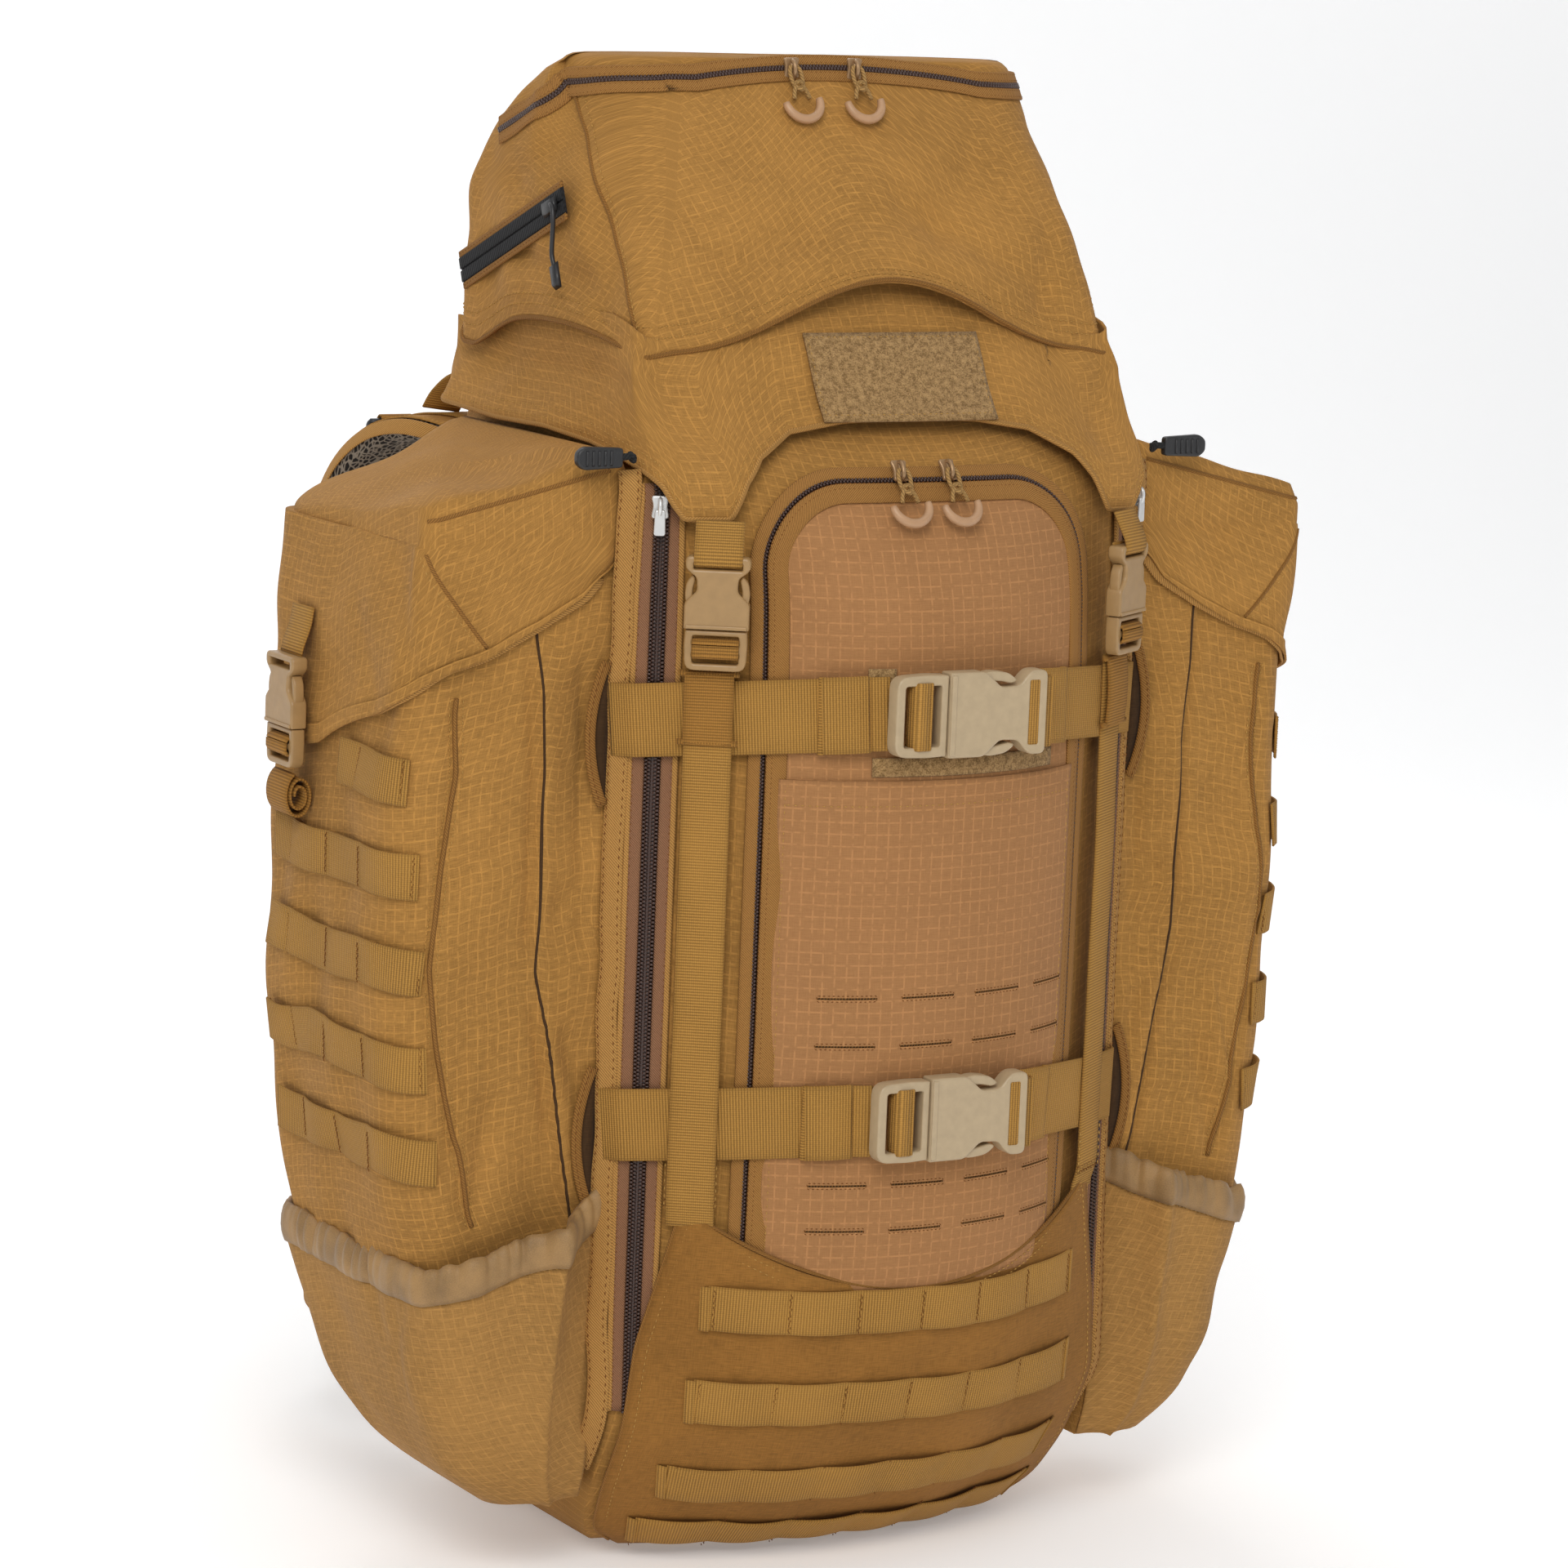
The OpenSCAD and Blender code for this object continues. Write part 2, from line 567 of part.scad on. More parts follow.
sternum_z = 444;
module sternum_strap() {
    color(webbing) {
        for (s = [-1, 1]) translate([s * 127 - 18, 228.6, sternum_z - 12]) cube([36, 6, 24]);
        translate([-109, 232.4, sternum_z - 10]) cube([218, web_t, 20]);
    }
    color(plastic) translate([-4, 235, sternum_z]) rotate([0, 90, 0])
        mirror([0, 1, 0]) buckle_female(26, 34, 8);
}
module sternum_male() {
    color(plastic) translate([-4, 235, sternum_z]) rotate([0, 90, 0])
        mirror([0, 1, 0]) buckle_male(26, 20, 8, 15);
}

// Hip wings: padded arcs that turn about the ends of the lumbar pad
wing_r = 118;
wing_t = 15;
wing_c = [28, 178];
module hip_wing(s) {
    color(cloth) scale([s, 1, 1]) translate([wing_c[0], wing_c[1], 52])
        rotate([0, 0, -40]) rotate_extrude(angle = 92, $fn = 90)
        translate([wing_r - wing_t / 2, 0]) polygon([[0, 4], [4, 0], [wing_t - 4, 0],
            [wing_t, 4], [wing_t, 96], [wing_t - 4, 100], [4, 100], [0, 96]]);
}
module wing_tip(s) {
    scale([s, 1, 1]) translate([wing_c[0], wing_c[1], 102]) rotate([0, 0, 52])
        translate([wing_r, 0.4, 0]) children();
}
module hip_buckle_male() {
    color(plastic) wing_tip(-1) {
        translate([-1, 0, -19]) cube([2, 22, 38]);
        translate([-5, 26, 0]) rotate([-90, 0, 0]) rotate([0, 0, 90]) buckle_male(48, 24, 10, 20);
    }
}
module hip_buckle_female() {
    color(plastic) wing_tip(1) {
        translate([-1, 0, -19]) cube([2, 10, 38]);
        translate([-5, 44, 0]) rotate([90, 0, 0]) rotate([0, 0, 90]) buckle_female(48, 34, 10);
    }
}

// Grab handle between the shoulder straps, hanging down from its hinge line
handle_z = 584;
handle_half = 26;
module haul_handle() {
    color(webbing) translate([0, 79, handle_z]) {
        rotate([0, 90, 0]) translate([0, 0, -handle_half])
            cylinder(h = 2 * handle_half, r = 2, $fn = 24);
        for (x = [-handle_half, handle_half - 3]) translate([x, -1, -34]) cube([3, 2, 34]);
        translate([-handle_half, -5, -44]) cube([2 * handle_half, 10, 12]);
    }
}

// Metal ring hinged on the crest of each shoulder strap
ring_place = [112, 201, 570];
module d_ring(s) {
    color(dark) translate([s * ring_place[0], ring_place[1], ring_place[2]]) {
        rotate([0, 90, 0]) translate([0, 0, -15]) cylinder(h = 30, r = 2, $fn = 24);
        rotate([-38, 0, 0]) rotate_extrude(angle = 180, $fn = 48)
            translate([15, 0]) circle(r = 2, $fn = 24);
    }
}

main_bag();
front_panel();
front_zip();
side_zips();
bottom_bucket();
bucket_pals();
vertical_straps();
compression_straps();
compression_buckle_females();
compression_male(comp_upper);  // compression_male_upper
compression_male(comp_lower);  // compression_male_lower
hood();
hood_patch();
front_buckle_females();
front_male(-1);  // front_male_left
front_male(1);  // front_male_right
lid();
lid_zip();
lid_side_zip();
lid_side_slider();
lid_slider(0);  // lid_slider_left
lid_slider(1);  // lid_slider_right
lid_pull(0);  // lid_pull_left
lid_pull(1);  // lid_pull_right
front_slider(0);  // front_slider_left
front_slider(1);  // front_slider_right
front_pull(0);  // front_pull_left
front_pull(1);  // front_pull_right
side_slider(-1);  // side_slider_left
side_slider(1);  // side_slider_right
corner_pull(-1);  // corner_pull_left
corner_pull(1);  // corner_pull_right
pod(-1);  // pod_left
pod(1);  // pod_right
pod_flap(-1);  // pod_flap_left
pod_flap(1);  // pod_flap_right
pod_pals();
stretch_pocket(-1);  // stretch_pocket_left
stretch_pocket(1);  // stretch_pocket_right
pod_buckle_females();
pod_male(-1);  // pod_male_left
pod_male(1);  // pod_male_right
frame_sheet();
frame_stays();
back_panel();
back_pads();
lumbar_pad();
shoulder_strap(-1);  // shoulder_strap_left
shoulder_strap(1);  // shoulder_strap_right
load_lifters();
shoulder_webbing();
sternum_strap();
sternum_male();
hip_wing(-1);  // hip_wing_left
hip_wing(1);  // hip_wing_right
hip_buckle_male();
hip_buckle_female();
haul_handle();
d_ring(-1);  // d_ring_left
d_ring(1);  // d_ring_right
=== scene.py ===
"""Hunting backpack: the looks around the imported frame. Shapes are worked out in millimetres
in the frame's own axes (+Z up, the bag's front faces -Y) and turned into metres at the end."""
import math
import bpy
import numpy as np
from mathutils import Matrix, Vector


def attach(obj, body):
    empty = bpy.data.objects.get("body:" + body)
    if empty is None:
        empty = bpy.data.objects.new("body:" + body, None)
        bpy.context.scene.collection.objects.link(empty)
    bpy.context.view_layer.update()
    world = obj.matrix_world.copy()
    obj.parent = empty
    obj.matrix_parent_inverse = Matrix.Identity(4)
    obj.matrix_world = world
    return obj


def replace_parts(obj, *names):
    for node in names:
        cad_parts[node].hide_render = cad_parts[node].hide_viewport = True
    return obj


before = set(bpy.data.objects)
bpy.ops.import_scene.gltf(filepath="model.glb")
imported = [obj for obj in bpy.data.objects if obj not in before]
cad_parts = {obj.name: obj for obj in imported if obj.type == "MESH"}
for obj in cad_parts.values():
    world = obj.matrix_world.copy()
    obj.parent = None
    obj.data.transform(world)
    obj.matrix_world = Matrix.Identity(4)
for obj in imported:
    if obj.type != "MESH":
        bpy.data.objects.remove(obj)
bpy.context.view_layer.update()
bpy.context.scene.view_settings.view_transform = "Standard"
MM = 0.001
SIDES = (("left", -1), ("right", 1))

# ---------- small helpers ----------


def unit(v):
    return v / np.maximum(np.linalg.norm(v, axis=-1, keepdims=True), 1e-9)


def smooth_table(points, sigma=6.0):
    """A table of (z, value) read as a curve: straight runs with their corners rounded."""
    z, value = np.array(points, float).T
    pad = 4 * sigma
    dense = np.arange(z[0] - pad, z[-1] + pad, 1.0)
    first = (value[1] - value[0]) / (z[1] - z[0])
    last = (value[-1] - value[-2]) / (z[-1] - z[-2])
    line = np.interp(dense, z, value)
    line += np.minimum(dense - z[0], 0) * first + np.maximum(dense - z[-1], 0) * last
    kernel = np.exp(-0.5 * (np.arange(-pad, pad + 1) / sigma) ** 2)
    soft = np.convolve(line, kernel / kernel.sum(), mode="same")
    keep = slice(int(pad) // 2, -(int(pad) // 2))
    return lambda q: np.interp(q, dense[keep], soft[keep])


def ripples(a, b, seed, size, count=14):
    """Smooth seeded noise of about -1 to 1 over a plane; size is the length of a ripple."""
    draw = np.random.default_rng(seed)
    angle = draw.uniform(0, math.tau, count)
    wave = math.tau / (size * draw.uniform(0.7, 1.8, count))
    phase = draw.uniform(0, math.tau, count)
    total = sum(np.sin(w * (np.cos(t) * a + np.sin(t) * b) + p)
                for w, t, p in zip(wave, angle, phase))
    return total / math.sqrt(count * 0.9)


def crease(a, b, start, end, width, depth, fade=12.0):
    """A fold along a line on the plane (a, b): below zero by depth on the line itself."""
    start, end = np.array(start, float), np.array(end, float)
    run = end - start
    t = ((a - start[0]) * run[0] + (b - start[1]) * run[1]) / (run @ run)
    near = np.clip(t, 0, 1)
    off = np.hypot(a - start[0] - near * run[0], b - start[1] - near * run[1])
    ends = np.clip(np.minimum(t, 1 - t) * np.linalg.norm(run) / fade, 0, 1)
    return -depth * np.exp(-(off / width) ** 2) * ends


def pleat(a, b, start, end, width, height, fade=14.0):
    """A fold lying over: it rises gently on the left of the line and drops sharply on it."""
    start, end = np.array(start, float), np.array(end, float)
    run = end - start
    size = np.linalg.norm(run)
    t = ((a - start[0]) * run[0] + (b - start[1]) * run[1]) / size ** 2
    off = ((a - start[0]) * run[1] - (b - start[1]) * run[0]) / size
    rise = np.where(off > 0, np.exp(-(off / width) ** 1.4), np.exp(-(off / 1.3) ** 2))
    return height * rise * np.clip(np.minimum(t, 1 - t) * size / fade, 0, 1)


def lengths(points):
    step = np.linalg.norm(np.diff(points, axis=0), axis=1)
    return np.concatenate([[0], np.cumsum(step)])


def resample(points, count):
    points = np.asarray(points, float)
    along = lengths(points)
    where = np.linspace(0, along[-1], count)
    return np.stack([np.interp(where, along, points[:, k])
                     for k in range(points.shape[1])], 1)


def spline(points, count, rounds=3):
    """A smooth line through about the given points, by cutting corners."""
    p = np.asarray(points, float)
    for _ in range(rounds):
        q = np.empty((2 * len(p) - 2, p.shape[1]))
        q[0::2] = 0.75 * p[:-1] + 0.25 * p[1:]
        q[1::2] = 0.25 * p[:-1] + 0.75 * p[1:]
        p = np.vstack([p[:1], q, p[-1:]])
    return resample(p, count)


class Cloth:
    """A grid of points, rows by columns, that sewn-on pieces can follow."""

    def __init__(self, points, out=1.0, closed=False):
        self.points = np.asarray(points, float)
        self.closed = closed
        p = self.points
        across = np.roll(p, -1, 1) - np.roll(p, 1, 1) if closed else np.gradient(p, axis=1)
        self.normals = unit(np.cross(across, np.gradient(p, axis=0))) * out

    def moved(self, distance):
        out = 1.0 if self.sign() > 0 else -1.0
        far = np.asarray(distance, float)
        far = far[..., None] if far.ndim else far
        return Cloth(self.points + self.normals * far, out, self.closed)

    def sign(self):
        p = self.points
        raw = np.cross(np.gradient(p, axis=1), np.gradient(p, axis=0))
        return float(np.sum(raw * self.normals))

    def at(self, u, v, r=0.0):
        """Points r above the cloth at u across and v up, both from 0 to 1."""
        return self.look(self.points, u, v) + np.asarray(r)[..., None] * self.normal(u, v)

    def normal(self, u, v):
        return unit(self.look(self.normals, u, v))

    def look(self, grid, u, v):
        rows, cols = grid.shape[:2]
        u, v = np.broadcast_arrays(np.asarray(u, float), np.asarray(v, float))
        a = np.clip(u, 0, 1) * (cols - 1)
        b = np.clip(v, 0, 1) * (rows - 1)
        i = np.minimum(a.astype(int), cols - 2)
        j = np.minimum(b.astype(int), rows - 2)
        s, t = (a - i)[..., None], (b - j)[..., None]
        return ((grid[j, i] * (1 - s) + grid[j, i + 1] * s) * (1 - t)
                + (grid[j + 1, i] * (1 - s) + grid[j + 1, i + 1] * s) * t)

    def metric(self):
        """Distance along each row from its middle, and along each column from its foot."""
        p = self.points
        row = np.linalg.norm(np.diff(p, axis=1), axis=2)
        col = np.linalg.norm(np.diff(p, axis=0), axis=2)
        a = np.concatenate([np.zeros((len(p), 1)), np.cumsum(row, 1)], 1)
        b = np.concatenate([np.zeros((1, p.shape[1])), np.cumsum(col, 0)], 0)
        return a - a[:, a.shape[1] // 2:a.shape[1] // 2 + 1], b


# ---------- materials ----------


class Shade:
    """A principled material whose colour, roughness and relief come from nodes."""

    def __init__(self, name, slot, roughness=0.8, metallic=0.0, sheen=0.0, coat=0.0):
        self.mat = bpy.data.materials.new(name)
        self.mat.use_nodes = True
        self.tree = self.mat.node_tree
        self.slot = slot
        self.bsdf = self.tree.nodes["Principled BSDF"]
        self.bsdf.inputs["Roughness"].default_value = roughness
        self.bsdf.inputs["Metallic"].default_value = metallic
        self.bsdf.inputs["Sheen Weight"].default_value = sheen * 0.2
        self.bsdf.inputs["Specular IOR Level"].default_value = 0.18 if roughness > 0.7 else 0.5
        self.bsdf.inputs["Sheen Roughness"].default_value = 0.5
        self.bsdf.inputs["Coat Weight"].default_value = coat
        coords = self.tree.nodes.new("ShaderNodeTexCoord")
        self.uv = coords.outputs["UV"]
        self.place = coords.outputs["Object"]

    def link(self, a, b):
        self.tree.links.new(a, b)

    def put(self, socket, value):
        if isinstance(value, bpy.types.NodeSocket):
            self.link(value, socket)
        else:
            socket.default_value = value

    def math(self, kind, a, b=0.0, c=0.0):
        node = self.tree.nodes.new("ShaderNodeMath")
        node.operation = kind
        for socket, value in zip(node.inputs, (a, b, c)):
            self.put(socket, value)
        return node.outputs[0]

    def split(self, vector):
        node = self.tree.nodes.new("ShaderNodeSeparateXYZ")
        self.link(vector, node.inputs[0])
        return node.outputs

    def scaled(self, vector, scale):
        node = self.tree.nodes.new("ShaderNodeVectorMath")
        node.operation = "MULTIPLY"
        self.link(vector, node.inputs[0])
        node.inputs[1].default_value = scale
        return node.outputs[0]

    def noise(self, vector, scale, detail=2.0, rough=0.5):
        """Noise; scale is how many cells there are in a metre, along each axis."""
        node = self.tree.nodes.new("ShaderNodeTexNoise")
        self.link(self.scaled(vector, scale), node.inputs["Vector"])
        node.inputs["Scale"].default_value = 1.0
        node.inputs["Detail"].default_value = detail
        node.inputs["Roughness"].default_value = rough
        return node.outputs["Fac"]

    def ramp(self, value, low, high):
        node = self.tree.nodes.new("ShaderNodeMapRange")
        node.interpolation_type = "SMOOTHSTEP"
        self.put(node.inputs["Value"], value)
        node.inputs["From Min"].default_value = low
        node.inputs["From Max"].default_value = high
        return node.outputs["Result"]

    def mix(self, factor, a, b):
        node = self.tree.nodes.new("ShaderNodeMix")
        node.data_type = "RGBA"
        self.put(node.inputs["Factor"], factor)
        colours = [s for s in node.inputs if s.type == "RGBA"]
        for socket, value in zip(colours, (a, b)):
            self.put(socket, value if isinstance(value, bpy.types.NodeSocket) else (*value, 1))
        return [s for s in node.outputs if s.type == "RGBA"][0]

    def wave(self, value, pitch):
        """A sine from 0 to 1 along a length in metres."""
        turn = self.math("MULTIPLY", value, math.tau / pitch)
        return self.math("MULTIPLY_ADD", self.math("SINE", turn), 0.5, 0.5)

    def lines(self, value, pitch, width):
        """1 on thin lines every pitch metres, else 0."""
        part = self.math("FRACT", self.math("DIVIDE", value, pitch))
        return self.math("LESS_THAN", part, width / pitch)

    def colour(self, value):
        self.put(self.bsdf.inputs["Base Color"], value)

    def relief(self, height, distance, strength=1.0):
        node = self.tree.nodes.new("ShaderNodeBump")
        node.inputs["Strength"].default_value = strength
        node.inputs["Distance"].default_value = distance
        self.link(height, node.inputs["Height"])
        self.link(node.outputs[0], self.bsdf.inputs["Normal"])

    def vary_roughness(self, scale, low, high):
        node = self.tree.nodes.new("ShaderNodeMapRange")
        self.link(self.noise(self.place, (scale,) * 3, 3), node.inputs["Value"])
        node.inputs["To Min"].default_value = low
        node.inputs["To Max"].default_value = high
        self.link(node.outputs["Result"], self.bsdf.inputs["Roughness"])


def scale_colour(colour, k):
    return tuple(min(1.0, c * k) for c in colour)


def woven_cloth(name, slot, base, light=1.22, dark=0.76, grid=0.0, grid_light=0.3, slub=0.4):
    """Heathered plain weave: fine warp and weft streaks, slub lines and an optional grid."""
    s = Shade(name, slot, roughness=0.86, sheen=0.12)
    u, v = s.split(s.uv)[:2]
    weft = s.noise(s.uv, (140, 1900, 1), 2)
    warp = s.noise(s.uv, (1900, 140, 1), 2)
    threads = s.math("MULTIPLY_ADD", weft, 0.6, s.math("MULTIPLY", warp, 0.4))
    cloudy = s.noise(s.place, (14, 14, 14), 4, 0.6)
    tone = s.ramp(s.math("MULTIPLY_ADD", cloudy, 0.3, s.math("MULTIPLY", threads, 0.7)), 0.34, 0.66)
    colour = s.mix(tone, scale_colour(base, dark), scale_colour(base, light))
    streak = s.ramp(s.noise(s.uv, (60, 900, 1), 1), 0.62, 0.74)
    colour = s.mix(s.math("MULTIPLY", streak, slub), colour, scale_colour(base, 1.45))
    weave = s.math("MULTIPLY", s.wave(u, 0.0007), s.wave(v, 0.0007))
    height = s.math("MULTIPLY_ADD", threads, 1.4, s.math("MULTIPLY", weave, 0.5))
    if grid:
        ladder = s.math("MAXIMUM", s.lines(u, grid, 0.0009), s.lines(v, grid, 0.0009))
        broken = s.math("MULTIPLY", ladder, s.ramp(s.noise(s.uv, (260, 260, 1), 1), 0.3, 0.6))
        colour = s.mix(s.math("MULTIPLY", broken, grid_light), colour, scale_colour(base, 1.75))
        height = s.math("MULTIPLY_ADD", ladder, 0.5, height)
    s.colour(colour)
    s.relief(height, 0.00028, 0.4)
    s.vary_roughness(40, 0.78, 0.94)
    return s


def woven_webbing(name, width, base, pitch=0.0015):
    """Ribbed webbing: ribs across, fine columns along and darker edges. U is across."""
    s = Shade(name, "webbing", roughness=0.78, sheen=0.1)
    u, v = s.split(s.uv)[:2]
    ribs = s.wave(v, pitch)
    columns = s.wave(u, 0.0011)
    speck = s.noise(s.uv, (900, 900, 1), 1)
    fine = s.math("MULTIPLY_ADD", columns, 0.2, s.math("MULTIPLY", speck, 0.3))
    tone = s.math("MULTIPLY_ADD", ribs, 0.5, fine)
    colour = s.mix(s.ramp(tone, 0.2, 0.85), scale_colour(base, 0.62), scale_colour(base, 1.3))
    # the outer 1.7 mm of each edge is made darker in colour
    edge = s.math("GREATER_THAN", s.math("ABSOLUTE", u), width / 2 * MM - 0.0017)
    colour = s.mix(s.math("MULTIPLY", edge, 0.35), colour, scale_colour(base, 0.7))
    worn = s.ramp(s.noise(s.place, (22, 22, 22), 3), 0.35, 0.75)
    colour = s.mix(s.math("MULTIPLY", worn, 0.25), colour, scale_colour(base, 1.35))
    s.colour(colour)
    s.relief(s.math("MULTIPLY_ADD", ribs, 1.0, s.math("MULTIPLY", columns, 0.35)), 0.0004, 0.7)
    return s


def moulded(name, slot, base, roughness=0.42, grain=1500.0, metallic=0.0, coat=0.0):
    """Moulded plastic or painted metal: fine grain, faint mottling and uneven gloss."""
    s = Shade(name, slot, roughness, metallic, coat=coat)
    mottle = s.noise(s.place, (180, 180, 180), 3)
    s.colour(s.mix(mottle, scale_colour(base, 0.86), scale_colour(base, 1.14)))
    s.relief(s.noise(s.place, (grain,) * 3, 2), 0.00006, 0.35)
    s.vary_roughness(220, roughness - 0.08, roughness + 0.12)
    return s


def twill_tape(name, slot, base, pitch=0.0013):
    """Narrow tape with slanting ribs."""
    s = Shade(name, slot, roughness=0.8, sheen=0.1)
    u, v = s.split(s.uv)[:2]
    ribs = s.wave(s.math("ADD", u, v), pitch)
    speck = s.noise(s.uv, (700, 700, 1), 2)
    tone = s.math("MULTIPLY_ADD", ribs, 0.6, s.math("MULTIPLY", speck, 0.4))
    s.colour(s.mix(s.ramp(tone, 0.2, 0.8), scale_colour(base, 0.7), scale_colour(base, 1.25)))
    s.relief(ribs, 0.0003, 0.6)
    return s


def open_mesh(name):
    """Spacer mesh: round holes painted near-black as painted shade in their depth, over a lighter ground of threads.
    """
    s = Shade(name, "spacer_mesh", roughness=0.9, sheen=0.15)
    cells = s.tree.nodes.new("ShaderNodeTexVoronoi")
    cells.feature = "DISTANCE_TO_EDGE"
    cells.inputs["Scale"].default_value = 1.0
    s.link(s.scaled(s.uv, (330, 260, 1)), cells.inputs["Vector"])
    net = s.ramp(cells.outputs["Distance"], 0.08, 0.2)
    fibre = s.noise(s.uv, (1500, 1500, 1), 2)
    thread = s.mix(fibre, (0.16, 0.13, 0.10), (0.33, 0.28, 0.22))
    # near-black in the holes: painted shade where the holes sink into the mesh
    s.colour(s.mix(net, thread, (0.018, 0.015, 0.013)))
    s.relief(s.math("SUBTRACT", 1.0, net), 0.0012, 0.9)
    return s


def loop_pile(name):
    s = Shade(name, "loop_field", roughness=0.95, sheen=0.4)
    fuzz = s.noise(s.uv, (1100, 1100, 1), 4, 0.75)
    tufts = s.noise(s.uv, (300, 300, 1), 3, 0.7)
    tone = s.math("MULTIPLY_ADD", fuzz, 0.55, s.math("MULTIPLY", tufts, 0.45))
    s.colour(s.mix(s.ramp(tone, 0.38, 0.62), (0.17, 0.092, 0.03), (0.47, 0.29, 0.12)))
    s.relief(tone, 0.0012, 1.0)
    return s


def gathered_cloth(name, base):
    """Thin hem cloth with a soft shine."""
    s = Shade(name, "elastic_cloth", roughness=0.6, sheen=0.2)
    grain = s.noise(s.uv, (1600, 1600, 1), 2)
    cloudy = s.noise(s.place, (60, 60, 60), 3)
    tone = s.math("MULTIPLY_ADD", grain, 0.4, s.math("MULTIPLY", cloudy, 0.6))
    s.colour(s.mix(s.ramp(tone, 0.3, 0.7), scale_colour(base, 0.72), scale_colour(base, 1.25)))
    s.relief(grain, 0.0002, 0.5)
    return s


GOLD = (0.338, 0.168, 0.040)
CLOTH = woven_cloth("cloth_gold", "pack_cloth", GOLD, grid=0.0058, grid_light=0.42)
CLOTH_GRID = woven_cloth("cloth_gold_grid", "pack_cloth", GOLD, grid=0.0055, grid_light=0.42)
CLOTH_DARK = woven_cloth("cloth_bucket", "pack_cloth", (0.262, 0.118, 0.024), slub=0.25)
PANEL = woven_cloth("cloth_panel", "panel_cloth", (0.335, 0.162, 0.062), light=1.1, dark=0.9,
                    grid=0.0062, grid_light=0.38, slub=0.1)
POCKET = woven_cloth("cloth_pocket", "elastic_cloth", (0.33, 0.172, 0.048), grid=0.0055,
                     grid_light=0.3, slub=0.3)
HEM = gathered_cloth("hem_cloth", (0.29, 0.165, 0.058))
BINDING = twill_tape("binding", "pack_cloth", (0.40, 0.205, 0.055), 0.0016)
BINDING_DARK = twill_tape("binding_dark", "pack_cloth", (0.25, 0.115, 0.026), 0.0016)
ZIP_TAPE = twill_tape("zip_tape", "zip_coil", (0.24, 0.115, 0.058))
GOLD_TAPE = twill_tape("zip_tape_gold", "zip_coil", (0.30, 0.142, 0.036))
COIL = moulded("coil", "zip_coil", (0.055, 0.026, 0.018), 0.34)
WEB = {w: woven_webbing(f"webbing_{w}", w, (0.36, 0.185, 0.040)) for w in (20, 25, 38)}
WEB_DEEP = woven_webbing("webbing_deep", 25, (0.30, 0.142, 0.028))
TAN_PLASTIC = moulded("plastic_tan", "buckle_plastic", (0.34, 0.205, 0.082), 0.36)
BEIGE_PLASTIC = moulded("plastic_beige", "buckle_plastic", (0.43, 0.325, 0.195), 0.34)
PULL_PLASTIC = moulded("plastic_pull", "pull_plastic", (0.44, 0.255, 0.135), 0.38)
BLACK_PLASTIC = moulded("plastic_black", "black_plastic", (0.018, 0.018, 0.019), 0.42)
BLACK_TAPE = twill_tape("tape_black", "zip_coil", (0.016, 0.016, 0.017), 0.003)
SLIDER = moulded("slider_tan", "slider_metal", (0.34, 0.205, 0.10), 0.3, metallic=0.35)
SLIDER_SILVER = moulded("slider_silver", "slider_metal", (0.70, 0.70, 0.69), 0.3, metallic=0.6)
RING = moulded("ring_black", "ring_metal", (0.03, 0.033, 0.038), 0.34, metallic=0.5)
MESH = open_mesh("spacer_mesh")
LOOP = loop_pile("loop_pile")
CORD = twill_tape("cord_tan", "pull_plastic", (0.33, 0.19, 0.065), 0.0022)
CORD_BLACK = twill_tape("cord_black", "black_plastic", (0.02, 0.02, 0.02), 0.0022)
THREAD_GOLD = moulded("thread_gold", "pack_cloth", (0.46, 0.26, 0.07), 0.8, 3000)
THREAD_RUST = moulded("thread_rust", "pack_cloth", (0.17, 0.062, 0.014), 0.8, 3000)
# near-black cloth used as painted shadow: the shadow line in the pod's pleat and the shade inside the strap openings
PAINTED_SHADOW = woven_cloth("cloth_shadow", "pack_cloth", (0.055, 0.027, 0.010), slub=0.1)
FOAM_PLASTIC = moulded("frame_sheet", "frame_plastic", (0.62, 0.62, 0.60), 0.5)
ALLOY = moulded("stay_alloy", "stay_metal", (0.62, 0.63, 0.65), 0.32, 900, metallic=1.0)

# ---------- pieces ----------


def piece(name, points, faces, shade, body, uv=None, replaces=(), flat=False):
    """A mesh piece from points in millimetres; uv is in millimetres too."""
    mesh = bpy.data.meshes.new(name)
    points = np.asarray(points, float).reshape(-1, 3)
    mesh.from_pydata((points * MM).tolist(), [], [list(map(int, f)) for f in faces])
    if uv is None:
        uv = points[:, [0, 2]]
    layer = mesh.uv_layers.new(name="UVMap")
    corner = np.zeros(len(mesh.loops), int)
    mesh.loops.foreach_get("vertex_index", corner)
    layer.data.foreach_set("uv", (np.asarray(uv, float)[corner] * MM).ravel())
    mesh.materials.append(shade.mat)
    mesh.polygons.foreach_set("use_smooth", [not flat] * len(mesh.polygons))
    obj = bpy.data.objects.new(name, mesh)
    bpy.context.scene.collection.objects.link(obj)
    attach(obj, body)
    if replaces:
        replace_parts(obj, *replaces)
    return obj


def grid_faces(rows, cols, closed=False, start=0, turn=False):
    last = cols if closed else cols - 1
    faces = []
    for j in range(rows - 1):
        for i in range(last):
            a, b = start + j * cols + i, start + j * cols + (i + 1) % cols
            quad = (a, b, b + cols, a + cols)
            faces.append(quad[::-1] if turn else quad)
    return faces


